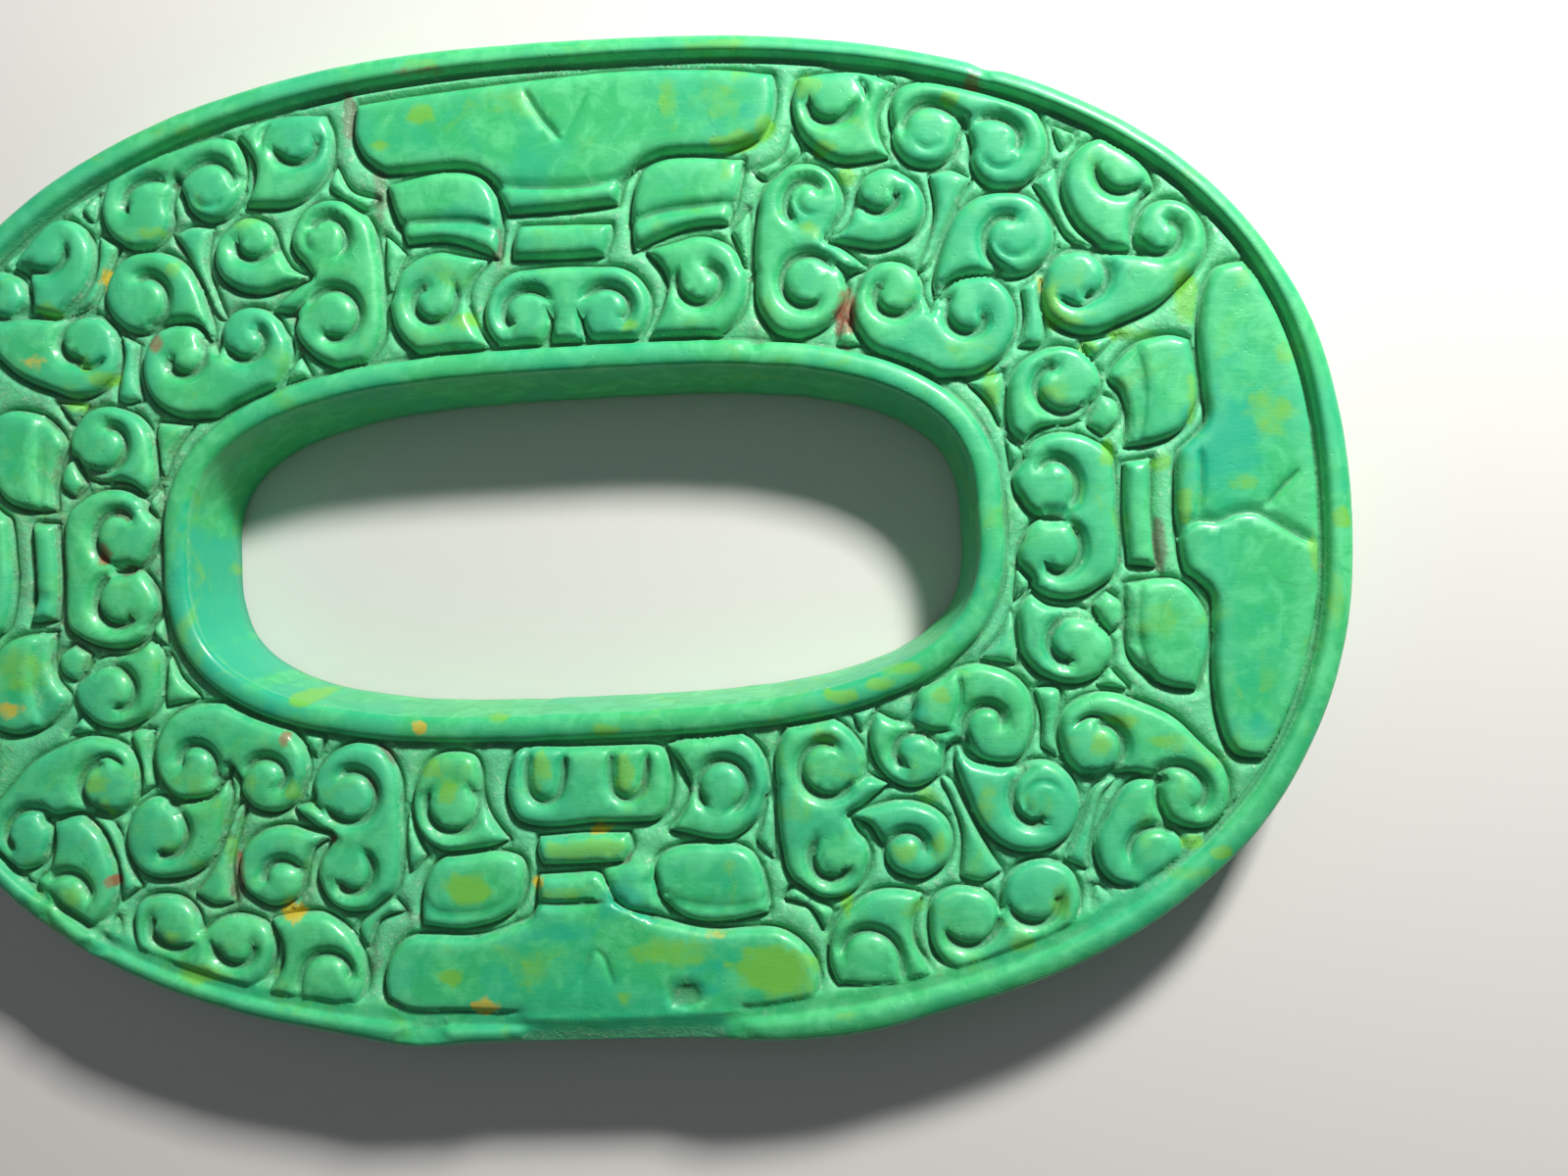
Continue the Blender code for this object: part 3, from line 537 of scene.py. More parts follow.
# Patches of other colour, as x, y, half sizes in millimetres and strength
PATCHES: dict[Tint, tuple[tuple[float, ...], ...]] = {
    Tint.YELLOW: (
        (-8.5, 25.3, 0.8, 0.6, 0.9), (-11.0, 23.6, 0.5, 0.4, 0.8), (-3.3, 25.7, 2.0, 0.9, 0.4),
        (6.3, 24.9, 0.7, 1.5, 0.5), (9.2, 24.8, 1.5, 1.1, 0.4), (10.4, 26.2, 0.6, 0.5, 0.5),
        (9.9, 22.4, 1.4, 0.5, 0.8), (11.7, 23.0, 0.6, 0.8, 0.7), (-8.3, 28.3, 1.3, 0.4, 0.5),
        (1.2, 28.4, 1.5, 0.4, 0.4), (8.9, 28.0, 1.8, 0.4, 0.5), (-23.2, 25.5, 2.4, 0.4, 0.4),
        (9.3, 20.4, 0.5, 0.7, 0.5), (-6.4, 13.0, 0.6, 0.5, 0.8), (3.2, 12.1, 0.5, 0.4, 0.7),
        (14.3, 25.3, 0.9, 0.8, 0.6), (15.2, 21.6, 0.9, 0.4, 0.7), (16.2, 19.9, 0.5, 0.5, 0.8),
        (22.4, 23.9, 0.7, 0.4, 0.8), (14.0, 16.8, 0.9, 0.5, 0.6), (27.5, 11.7, 0.5, 1.3, 0.8),
        (28.6, 10.9, 1.2, 0.4, 0.7), (35.0, 11.9, 0.7, 1.5, 0.8), (31.8, 9.9, 1.5, 0.4, 0.6),
        (29.4, 9.3, 0.7, 0.4, 0.6), (28.7, 13.0, 1.2, 1.1, 0.3), (27.6, 6.7, 0.8, 0.7, 0.6),
        (23.9, 7.3, 0.6, 1.3, 0.6), (30.2, 3.2, 0.4, 0.7, 0.9), (33.1, 2.5, 0.6, 0.5, 0.8),
        (35.0, 6.2, 0.3, 1.5, 0.6), (34.2, -0.1, 0.4, 1.1, 0.9), (39.2, 4.8, 1.3, 1.5, 0.5),
        (40.2, 8.2, 0.6, 0.7, 0.5), (37.5, 1.0, 0.9, 0.6, 0.5), (42.7, -1.1, 0.5, 0.7, 0.9),
        (42.2, -5.5, 0.5, 1.8, 0.5), (41.2, -3.0, 0.4, 1.1, 0.7), (32.6, -6.3, 1.3, 1.2, 0.4),
        (14.7, -9.8, 0.9, 0.4, 0.9), (16.7, -9.3, 0.9, 0.4, 0.8), (18.3, -8.4, 1.2, 0.4, 0.6),
        (20.2, -10.0, 0.6, 0.5, 0.8), (13.6, -12.1, 1.1, 0.5, 0.5), (22.4, -16.2, 0.6, 1.3, 0.5),
        (25.3, -16.3, 1.2, 1.1, 0.3), (30.2, -11.8, 0.7, 0.4, 0.9), (32.6, -13.1, 1.3, 0.5, 0.6),
        (28.9, -13.1, 0.6, 0.9, 0.6), (33.8, -18.8, 0.8, 0.4, 0.7), (35.2, -19.4, 0.7, 0.4, 0.8),
        (33.3, -20.5, 1.5, 0.4, 0.5), (17.7, -18.8, 0.7, 0.7, 0.7), (19.7, -18.3, 0.4, 0.6, 0.7),
        (18.0, -21.9, 1.1, 0.5, 0.5), (24.1, -24.1, 0.9, 0.7, 0.5), (26.2, -21.8, 0.7, 0.9, 0.5),
        (14.3, -21.6, 0.4, 0.8, 0.7), (13.9, -27.9, 0.7, 0.3, 0.6), (10.1, -25.2, 2.1, 1.4, 0.9),
        (19.1, -15.7, 0.7, 0.5, 0.6), (-2.3, -17.9, 0.6, 0.5, 0.8), (0.3, -17.9, 1.4, 0.6, 0.8),
        (-7.6, -20.0, 1.4, 0.9, 0.9), (-8.4, -14.5, 0.6, 0.6, 0.9), (-9.3, -13.0, 0.5, 0.5, 1.0),
        (0.9, -11.2, 0.8, 0.4, 0.8), (1.8, -14.2, 0.5, 0.7, 0.7), (-3.4, -13.9, 0.6, 0.8, 0.4),
        (-8.7, -25.0, 0.9, 0.5, 0.8), (1.4, -26.4, 0.5, 0.5, 0.6), (-3.8, -24.8, 1.1, 1.1, 0.4),
        (4.3, -23.9, 2.5, 0.8, 0.6), (-29.8, -13.2, 0.5, 0.5, 0.9), (-29.1, -14.5, 0.4, 0.5, 0.7),
        (-20.2, -13.4, 0.5, 0.6, 0.5), (-17.8, -14.0, 0.4, 0.6, 0.7), (-25.3, -22.3, 0.5, 0.4, 0.8),
        (-23.7, -24.4, 1.5, 0.6, 0.7), (-31.4, -19.8, 0.6, 0.7, 0.6), (-34.0, -6.4, 1.5, 1.4, 0.5),
        (-28.4, 10.9, 1.1, 0.4, 0.8), (-29.5, 11.8, 0.5, 0.6, 0.5), (-30.4, 9.4, 0.6, 0.4, 0.7),
        (-23.9, 17.1, 0.6, 0.5, 0.6), (-25.2, 19.4, 1.3, 0.4, 0.6), (-31.8, 15.2, 0.9, 0.5, 0.6),
        (-19.4, 19.6, 0.8, 0.5, 0.5), (-21.8, -17.1, 0.4, 1.2, 0.5), (-5.2, -10.2, 0.7, 0.3, 0.6),
        (-17.0, -8.6, 0.7, 0.5, 0.9), (-22.7, -0.4, 0.4, 0.8, 0.7), (-2.8, -13.2, 0.5, 0.9, 0.9),
        (2.0, -13.5, 0.5, 1.0, 1.0), (-0.6, -18.0, 2.3, 0.6, 0.6), (-2.4, -20.4, 1.6, 0.4, 0.6),
        (-25.0, -17.0, 13.0, 9.0, 0.22), (-33.0, 0.0, 9.0, 12.0, 0.2),
    ),
    Tint.OCHRE: (
        (-18.1, -21.1, 0.7, 0.5, 1.0), (-6.9, -26.8, 0.7, 0.5, 0.9), (-3.4, -19.8, 0.5, 0.4, 0.8),
        (0.2, -16.9, 0.6, 0.3, 0.7), (-9.8, -10.6, 0.4, 0.4, 0.9), (6.8, -23.1, 0.7, 0.3, 0.5),
        (-34.9, -8.5, 0.8, 0.5, 0.7), (-32.7, 12.1, 0.8, 0.5, 0.5), (-28.2, 16.9, 0.3, 0.9, 0.6),
        (26.9, 13.0, 0.3, 0.6, 0.4),
    ),
    Tint.RUST: (
        (-28.7, 0.6, 0.4, 0.8, 1.0), (-25.0, 12.8, 0.5, 0.7, 0.7), (15.9, 12.1, 0.6, 1.7, 0.6),
        (-18.0, -10.8, 0.3, 0.4, 1.0), (-29.0, -18.9, 0.4, 0.4, 1.0), (-15.4, -17.0, 0.5, 0.2, 0.7),
        (-21.1, -18.5, 0.4, 1.3, 0.6), (-8.6, 27.9, 1.8, 0.2, 0.5), (23.7, 24.8, 0.5, 0.5, 0.6),
    ),
    Tint.BLUE: (
        (-6.9, 25.8, 2.4, 1.4, 0.3), (8.7, 23.1, 1.2, 0.7, 0.6), (11.0, 24.1, 0.8, 0.7, 0.6),
        (36.6, 3.7, 2.4, 2.6, 0.9), (35.6, 1.1, 1.5, 0.9, 0.8), (36.8, 7.5, 1.8, 0.8, 0.6),
        (37.0, -12.6, 1.3, 0.8, 0.7), (38.0, -8.0, 1.4, 3.0, 0.3), (18.6, -11.0, 1.1, 0.7, 0.8),
        (18.7, -12.7, 1.2, 0.8, 0.5), (16.5, -19.9, 0.7, 1.1, 0.6), (28.6, -15.5, 0.7, 1.1, 0.6),
        (-2.4, -22.6, 2.7, 0.7, 0.7), (-6.0, -25.5, 1.3, 1.3, 0.6), (1.3, -20.9, 1.3, 0.9, 1.0),
        (2.9, -21.9, 1.5, 0.5, 0.7), (6.2, -25.4, 1.7, 1.3, 0.6), (-4.7, -23.3, 1.3, 1.1, 0.5),
        (-32.6, -2.7, 1.2, 0.8, 0.6), (-23.0, -2.0, 1.6, 4.2, 1.0), (-21.5, -6.5, 1.8, 1.8, 1.0),
        (-18.3, -8.7, 2.5, 1.0, 0.8), (9.6, -13.9, 0.7, 1.8, 0.4), (23.6, -6.2, 0.8, 1.8, 0.6),
        (22.7, -7.6, 0.9, 0.6, 0.6), (7.7, -13.8, 1.2, 1.2, 0.3), (-23.8, 20.7, 1.2, 0.6, 0.3),
        (17.3, -15.6, 0.6, 1.2, 0.4), (1.9, -20.4, 1.7, 1.5, 0.5),
    ),
    Tint.DIRT_AND_SHADE: (
        (-13.0, 25.7, 0.4, 1.5, 0.9), (-16.3, 14.1, 0.5, 3.0, 0.5), (15.7, 11.5, 0.5, 1.5, 0.8),
        (-22.2, 9.8, 2.4, 0.8, 0.8), (-27.4, -1.5, 0.8, 1.3, 0.9), (-27.7, 2.3, 0.6, 1.2, 0.9),
        (-12.6, -13.1, 0.9, 1.8, 0.8), (-15.7, -10.1, 1.5, 0.5, 0.7), (2.9, -13.7, 0.7, 1.2, 0.5),
        (1.8, -18.9, 0.6, 0.6, 0.6), (-21.4, -19.0, 0.5, 1.5, 0.8), (-4.4, 17.3, 0.4, 1.2, 0.7),
        (25.8, 17.8, 0.7, 1.1, 0.6), (21.6, 2.7, 0.4, 1.8, 0.3), (-13.4, -24.0, 0.5, 1.2, 0.5),
        (-11.3, 20.7, 0.5, 1.8, 0.6), (-24.9, 22.2, 3.6, 0.4, 0.5), (-28.5, 7.8, 0.6, 1.2, 0.5),
        (-31.0, 8.0, 0.5, 0.8, 0.4), (32.8, -2.3, 0.5, 1.3, 0.8), (-11.0, -21.6, 1.1, 0.6, 0.4),
        # The last three, broad over the west half's hollows, are partly dirt and partly painted shade
        # where the lamp's light falls off
        (-15.1, 20.4, 0.7, 0.5, 0.5), (31.5, 12.7, 0.6, 0.5, 0.3), (-29.0, 2.0, 7.0, 11.0, 0.4),
        (-20.0, -17.0, 9.0, 7.0, 0.35), (-24.0, 16.0, 8.0, 6.0, 0.35),
    ),
}

# How far the carver's hand strayed from the mirrored layout: for each quarter's sides of the Y and
# X axes, each motif's heads (or its middle) as X and Y in hundredths of a millimetre
STRAYED: dict[tuple[int, int], dict[str, tuple[tuple[int, int], ...]]] = {
    (1, 1): {
        "long_mouth": ((-40, 5),), "long_cheek": ((-15, -5),), "long_eye": ((-8, -7),),
        "long_nose": ((-5, -10),), "short_mouth": ((-16, -9),), "short_cheek": ((-28, -14),),
        "short_eye": ((13, 16),), "short_nose": ((-20, -10),),
    },
    (-1, 1): {
        "rim_crescent": ((-8, -13),), "rim_pair": ((21, -25), (-6, 1)),
        "inner_pair": ((0, -18), (13, -13)), "hook": ((-39, -25),),
        "border_pair": ((-39, -25), (-1, 44)), "comma": ((16, -12),),
        "mask_crescent": ((22, -1), (-18, 70)), "rim_comma": ((39, -44),),
        "long_mouth": ((25, 15),), "long_cheek": ((8, -12),), "long_eye": ((45, 12),),
        "short_mouth": ((15, -27),), "short_cheek": ((-6, -35),), "short_eye": ((20, -35),),
        "short_nose": ((4, -30),),
    },
    (1, -1): {
        "rim_crescent": ((-20, 17),), "rim_pair": ((-17, -45), (-23, -35)),
        "inner_pair": ((-30, -4), (-25, 50)), "hook": ((-21, 47),),
        "border_pair": ((-13, 5), (-11, 8)), "comma": ((-4, -9),),
        "mask_crescent": ((-53, 50), (-40, -50)), "rim_comma": ((-19, 45),),
        "long_mouth": ((-45, -50),), "long_cheek": ((-13, 20),), "long_eye": ((-38, -45),),
        "long_nose": ((-25, -13),), "short_mouth": ((-8, -1),), "short_cheek": ((-23, 26),),
        "short_eye": ((15, -30),), "short_forehead": ((-30, -10),), "leaf_eye": ((-45, 10),),
    },
    (-1, -1): {
        "rim_crescent": ((5, -7),), "rim_pair": ((-16, -32), (-19, 10)),
        "inner_pair": ((9, 21), (-1, -5)), "hook": ((-4, 4),),
        "border_pair": ((-9, 13), (-30, -29)), "comma": ((28, -16),),
        "mask_crescent": ((62, 55), (13, -33)), "rim_comma": ((60, -5),),
        "long_mouth": ((14, -60),), "long_cheek": ((-6, -26),), "long_eye": ((23, -60),),
        "short_mouth": ((9, -30),), "short_cheek": ((-2, -4),), "short_eye": ((-50, 0),),
    },
}

# The folded edges inside some of the heads, by quarter and motif
LIPS: dict[tuple[int, int], dict[str, tuple[Lip, ...]]] = {
    (1, 1): {
        "rim_pair": (Lip(0, 0.5, 195, 345), Lip(1, 0.72, 185, 355)),
        "comma": (Lip(0, 0.62, 190, 350),),
        "inner_pair": (Lip(0, 0.55, 60, 300),),
    },
    (-1, 1): {
        "rim_pair": (Lip(0, 0.6, 195, 330),),
        "inner_pair": (Lip(0, 0.6, 20, 250),),
    },
    (1, -1): {
        "comma": (Lip(0, 0.6, 30, 230),),
        "inner_pair": (Lip(0, 0.6, 150, 350),),
    },
}

# How far the outer edge lies outside a true oval, as plan angles in degrees with millimetres
EDGE_STRAYS = (
    (0, 0.42), (10, 0.22), (22, 0.0), (50, 0.02), (75, 0.10), (95, 0.24), (110, 0.40),
    (145, 0.48), (180, 0.36), (208, 0.18), (235, 0.26), (248, 0.38), (261, 0.10), (279, 0.18),
    (291, 0.66), (320, 0.66), (332, 0.54), (342, 0.34), (352, 0.40), (360, 0.42),
)

WORN_EDGES = (
    Wear(1.0, -1, 8.5, 0.10), Wear(24.5, 1, 1.1, 0.18), Wear(-11.5, -1, 4.5, -0.20),
    Wear(14.5, -1, 6.0, -0.24),
)

CHIPS = (
    Chip(10.5, 10.5, 0.7, 0.35, 0.22), Chip(24.2, 25.0, 0.5, 0.5, 0.14),
    Chip(1.9, -20.4, 2.1, 1.8, -0.5), Chip(2.8, -19.9, 0.5, 0.4, 0.22),
    Chip(1.2, -21.1, 0.5, 0.35, 0.16), Chip(4.8, -26.4, 1.1, 0.75, 0.42),
    Chip(-30.0, -22.6, 1.2, 0.5, 0.20), Chip(-10.5, -28.2, 1.4, 0.5, 0.22),
    Chip(31.5, -7.5, 0.6, 0.5, 0.12), Chip(-14.5, 26.6, 1.3, 0.5, 0.2),
    Chip(9.6, 20.9, 1.2, 0.4, 0.12), Chip(-33.0, -2.0, 1.0, 0.6, 0.2),
)

# Stretches of the southern rim that are worn off: their middle, half length and fade along X in
# millimetres
LOST_RIM = ((1.2, 7.8, 2.8), (-33.0, 2.2, 3.6))


def smooth(share: Array) -> Array:
    """An eased step from 0 to 1 as the share goes from 0 to 1."""
    share = np.clip(share, 0, 1)
    return share * share * (3 - 2 * share)


def unevenness(places: Array, size: float, seed: float, octaves: int = 1) -> Array:
    """Smooth noise between about -1 and 1.

    Args:
        places: points in plan, in metres.
        size: how wide its lumps are, in metres.
        seed: a number that sets this noise apart from others.
        octaves: how many times finer noise of half the height is added.

    Returns:
        One value for each point.
    """
    octave_shift = 7.3
    total = np.zeros(len(places))
    for octave in range(octaves):
        level = seed + octave_shift * octave
        scaled = places / size * 2**octave
        total += 0.5**octave * np.array([noise.noise(Vector((x, y, level))) for x, y in scaled])
    return total


@dataclass(frozen=True)
class Lumps:
    """Unevenness of a surface, with its lumps' width and height in millimetres.

    The middle is the share of the height that is added everywhere.
    """

    size: float
    height: float
    seed: float
    octaves: int = 2
    middle: float = 0.0

    def at(self, places: Array) -> Array:
        """How high the lumps are at each place, in metres."""
        wave = unevenness(places, self.size * MM, self.seed, self.octaves)
        return self.height * MM * (self.middle + wave)


def spline(points: list, corners: list[bool], closed: bool, step: float) -> Array:
    """A smooth line through the points.

    Args:
        points: the points that it goes through.
        corners: whether it turns sharply at each of them.
        closed: whether it comes back to its first point.
        step: about how far apart its own points are.

    Returns:
        The line's points.
    """
    corner_pull, longest_tangent = 0.6, 1.3
    line = []
    count = len(points)
    for k in range(count if closed else count - 1):
        start, end = points[k], points[(k + 1) % count]
        chord = end - start
        before = points[k - 1] if closed or k > 0 else start
        after = points[(k + 2) % count] if closed or k + 2 < count else end
        leave = chord * corner_pull if corners[k] else (end - before) / 2
        arrive = chord * corner_pull if corners[(k + 1) % count] else (after - start) / 2
        length = np.linalg.norm(chord)
        leave = leave * min(1, longest_tangent * length / np.linalg.norm(leave))
        arrive = arrive * min(1, longest_tangent * length / np.linalg.norm(arrive))
        steps = max(1, round(length / step))
        for t in np.arange(steps) / steps:
            line.append(
                (2 * t**3 - 3 * t**2 + 1) * start + (t**3 - 2 * t**2 + t) * leave
                + (3 * t**2 - 2 * t**3) * end + (t**3 - t**2) * arrive
            )
    if not closed:
        line.append(points[-1])
    return np.array(line)


def leftwards(line: Array, closed: bool) -> Array:
    """The unit direction to the left of a line at each of its points."""
    if closed:
        along = np.roll(line, -1, axis=0) - np.roll(line, 1, axis=0)
    else:
        along = np.gradient(line, axis=0)
    left = np.stack([-along[:, 1], along[:, 0]], axis=1)
    return left / np.maximum(np.linalg.norm(left, axis=1, keepdims=True), TINY)


def nearest(places: Array, starts: Array, ends: Array) -> tuple[Array, Array, Array]:
    """Where each place lies beside a chain of straight pieces.

    Args:
        places: points in plan.
        starts: where each piece starts.
        ends: where each piece ends.

    Returns:
        The distance to the nearest piece, how far along the chain it is as a share of the
        pieces, and 1 on the chain's left or -1 on its right.
    """
    chord = ends - starts
    offset = places[:, None] - starts
    along = np.clip((offset * chord).sum(axis=2) / (chord * chord).sum(axis=1), 0, 1)
    distance = np.linalg.norm(offset - along[..., None] * chord, axis=2)
    piece = distance.argmin(axis=1)
    row = np.arange(len(places))
    turn = chord[piece, 0] * offset[row, piece, 1] - chord[piece, 1] * offset[row, piece, 0]
    share = (piece + along[row, piece]) / len(chord)
    return distance[row, piece], share, np.where(turn >= 0, 1, -1)


def depth_inside(places: Array, loop: Array) -> Array:
    """How far inside a closed loop each place is, less than zero outside it."""
    starts, ends = loop, np.roll(loop, -1, axis=0)
    x, y = places[:, 0:1], places[:, 1:2]
    crosses = (starts[:, 1] > y) != (ends[:, 1] > y)
    rise = ends[:, 1] - starts[:, 1]
    rise = np.where(np.abs(rise) < TINY, TINY, rise)
    crossing = starts[:, 0] + (y - starts[:, 1]) * (ends[:, 0] - starts[:, 0]) / rise
    inside = (crosses & (x < crossing)).sum(axis=1) % 2 == 1
    return np.where(inside, 1, -1) * nearest(places, starts, ends)[0]


def around(places: Array, line: Array, margin: float) -> Array:
    """Which of the places lie within the line's box, made wider by the margin."""
    low, high = line.min(axis=0) - margin, line.max(axis=0) + margin
    return ((places >= low) & (places <= high)).all(axis=1)


def clear_of(line: Array, other: Array, gap: float) -> Array:
    """The line, moved half of the way that it needs to lie this far outside another loop."""
    near = np.flatnonzero(around(line, other, gap))
    if not len(near):
        return line
    probe = 0.02 * MM
    depth = depth_inside(line[near], other)
    slope = np.stack(
        [depth_inside(line[near] + step, other) - depth for step in ((probe, 0), (0, probe))],
        axis=1,
    )
    slope /= np.maximum(np.linalg.norm(slope, axis=1, keepdims=True), TINY)
    moved = line.copy()
    moved[near] -= slope * np.clip(depth + gap, 0, None)[:, None] / 2
    return moved


@dataclass(frozen=True)
class Oval:
    """A superellipse: half sizes, the power that squares it, and its middle."""

    half_x: float
    half_y: float
    power: float
    middle: tuple[float, float] = (0.0, 0.0)
    fine_count: int = 4001

    def ring(self, count: int) -> Array:
        """Points spaced evenly along it, from its +X end, anticlockwise."""
        angles = np.linspace(0, 2 * math.pi, self.fine_count)
        cosine, sine = np.cos(angles), np.sin(angles)
        fine = np.stack(
            [
                self.half_x * np.sign(cosine) * np.abs(cosine) ** (2 / self.power),
                self.half_y * np.sign(sine) * np.abs(sine) ** (2 / self.power),
            ],
            axis=1,
        )
        lengths = np.linalg.norm(np.diff(fine, axis=0), axis=1)
        travelled = np.concatenate([[0], np.cumsum(lengths)])
        even = np.linspace(0, travelled[-1], count, endpoint=False)
        places = np.stack([np.interp(even, travelled, fine[:, k]) for k in (0, 1)], axis=1)
        return places + self.middle

    def inset(self, places: Array) -> Array:
        """About how far inside it each place is, less than zero outside it."""
        x, y = (np.abs(places - self.middle) + 1e-9).T
        across, along = x / self.half_x, y / self.half_y
        reach = (across**self.power + along**self.power) ** (1 / self.power)
        slope_x = reach ** (1 - self.power) * across ** (self.power - 1) / self.half_x
        slope_y = reach ** (1 - self.power) * along ** (self.power - 1) / self.half_y
        return (1 - reach) / np.hypot(slope_x, slope_y)

    def pushed(self, places: Array, margin: float, inside: bool) -> Array:
        """The places, moved where needed to lie inside it, or outside it, by the margin."""
        grown = -margin if inside else margin
        centred = places - self.middle
        x, y = np.abs(centred).T
        reach = (
            (x / (self.half_x + grown)) ** self.power + (y / (self.half_y + grown)) ** self.power
        ) ** (1 / self.power)
        limit = np.maximum(reach, 1) if inside else np.minimum(reach, 1)
        return centred / limit[:, None] + self.middle


@dataclass(frozen=True)
class RingForm:
    """The ring's plain form: outline, hole, thickness and the plain edges beside the carving."""

    half_length: float
    half_width: float
    thickness: float
    outline_power: float = 2.45
    hole_half_length: float = 23.2 * MM
    hole_half_width: float = 9.9 * MM
    hole_power: float = 3.0
    hole_middle: tuple[float, float] = (-0.5 * MM, -0.25 * MM)
    hole_taper: float = 0.8 * MM
    carving_middle: tuple[float, float] = (-0.3 * MM, -0.2 * MM)
    rim_foot: float = 1.14 * MM
    border_foot: float = 1.55 * MM
    field_margin: float = 0.2 * MM
    carving_depth: float = 0.96 * MM

    @property
    def outline(self) -> Oval:
        """The outer edge in plan."""
        return Oval(self.half_length, self.half_width, self.outline_power)

    @property
    def hole(self) -> Oval:
        """The hole's upper edge in plan."""
        return Oval(self.hole_half_length, self.hole_half_width, self.hole_power, self.hole_middle)

    @classmethod
    def from_frame(cls) -> "RingForm":
        """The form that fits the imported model's box."""
        low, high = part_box(NODE)
        return cls((high[0] - low[0]) / 2, high[1], high[2])


class Strays:
    """Moves the mirrored layout smoothly to where the carver's hand put each shape."""

    softness = 1.6 * MM

    def __init__(self, form: RingForm) -> None:
        """Gathers the places that are known, with how far each one strayed."""
        self.anchors: list[Array] = []
        self.moves: list[Array] = []
        scale = np.array([form.half_length, form.half_width]) / 100
        for sides, strayed in STRAYED.items():
            for name, motif in MOTIFS.items():
                known = [np.array([head.x, head.y]) for head in motif.heads]
                if not known:
                    points = np.array([item[:2] for item in motif.outline if not isinstance(item, Turn)])
                    known = [(points.min(axis=0) + points.max(axis=0)) / 2]
                moves = strayed.get(name, ())
                if not moves and not motif.heads:
                    continue
                for k, place in enumerate(known):
                    self.anchors.append(place * scale * sides + form.carving_middle)
                    self.moves.append(np.array(moves[k] if moves else (0, 0)) / 100 * MM)

    def moved(self, places: Array) -> Array:
        """The places, each moved with the known places round it."""
        anchors, moves = np.array(self.anchors), np.array(self.moves)
        gap = ((places[:, None] - anchors) ** 2).sum(axis=2)
        weight = 1 / (gap + self.softness**2) ** 2
        return places + (weight[..., None] * moves).sum(axis=1) / weight.sum(axis=1)[:, None]


@dataclass(frozen=True)
class Cut:
    """A groove: its middle line, its half widths to the left and right, and its depth.

    Its steep side is its left where steep is 1, its right where it is -1, and neither where it
    is 0. The depth at each end is a share of the depth between them.
    """

    line: Array
    left: float
    right: float
    depth: float
    steep: int = 0
    start_share: float = 0.3
    end_share: float = 0.3
    run_in: float = 0.55 * MM
    narrowing: float = 0.4
    gentle_power: float = 1.3
    flat_share: float = 0.12

    def depth_at(self, places: Array) -> Array:
        """How deep the groove is at each place."""
        depth = np.zeros(len(places))
        near = around(places, self.line, max(self.left, self.right))
        if not near.any():
            return depth
        distance, share, side = nearest(places[near], self.line[:-1], self.line[1:])
        run_in = self.run_in / np.linalg.norm(np.diff(self.line, axis=0), axis=1).sum()
        ends = np.minimum(
            self.start_share + (1 - self.start_share) * smooth(share / run_in),
            self.end_share + (1 - self.end_share) * smooth((1 - share) / run_in),
        )
        half = np.where(side > 0, self.left, self.right)
        t = np.clip(distance / (half * (1 - self.narrowing + self.narrowing * ends)), 0, 1)
        gentle = (1 - t) ** self.gentle_power
        steep = 1 - smooth((t - self.flat_share) / (1 - self.flat_share))
        depth[near] = self.depth * ends * np.where(side == self.steep, steep, gentle)
        return depth

    def rows(self, step: float) -> list[Array]:
        """Lines of places that the groove's form needs as vertices, the deepest first."""
        left = leftwards(self.line, False)
        rows = [self.line]
        for share in (0.5, 1.0):
            rows.append(self.line + left * self.left * share)
            rows.append(self.line - left * self.right * share)
        wide = max(self.left, self.right)
        if wide > 1.5 * step:
            sign = 1 if self.left > self.right else -1
            rows += [self.line + left * sign * wide * share for share in (0.75, 0.25)]
        return rows


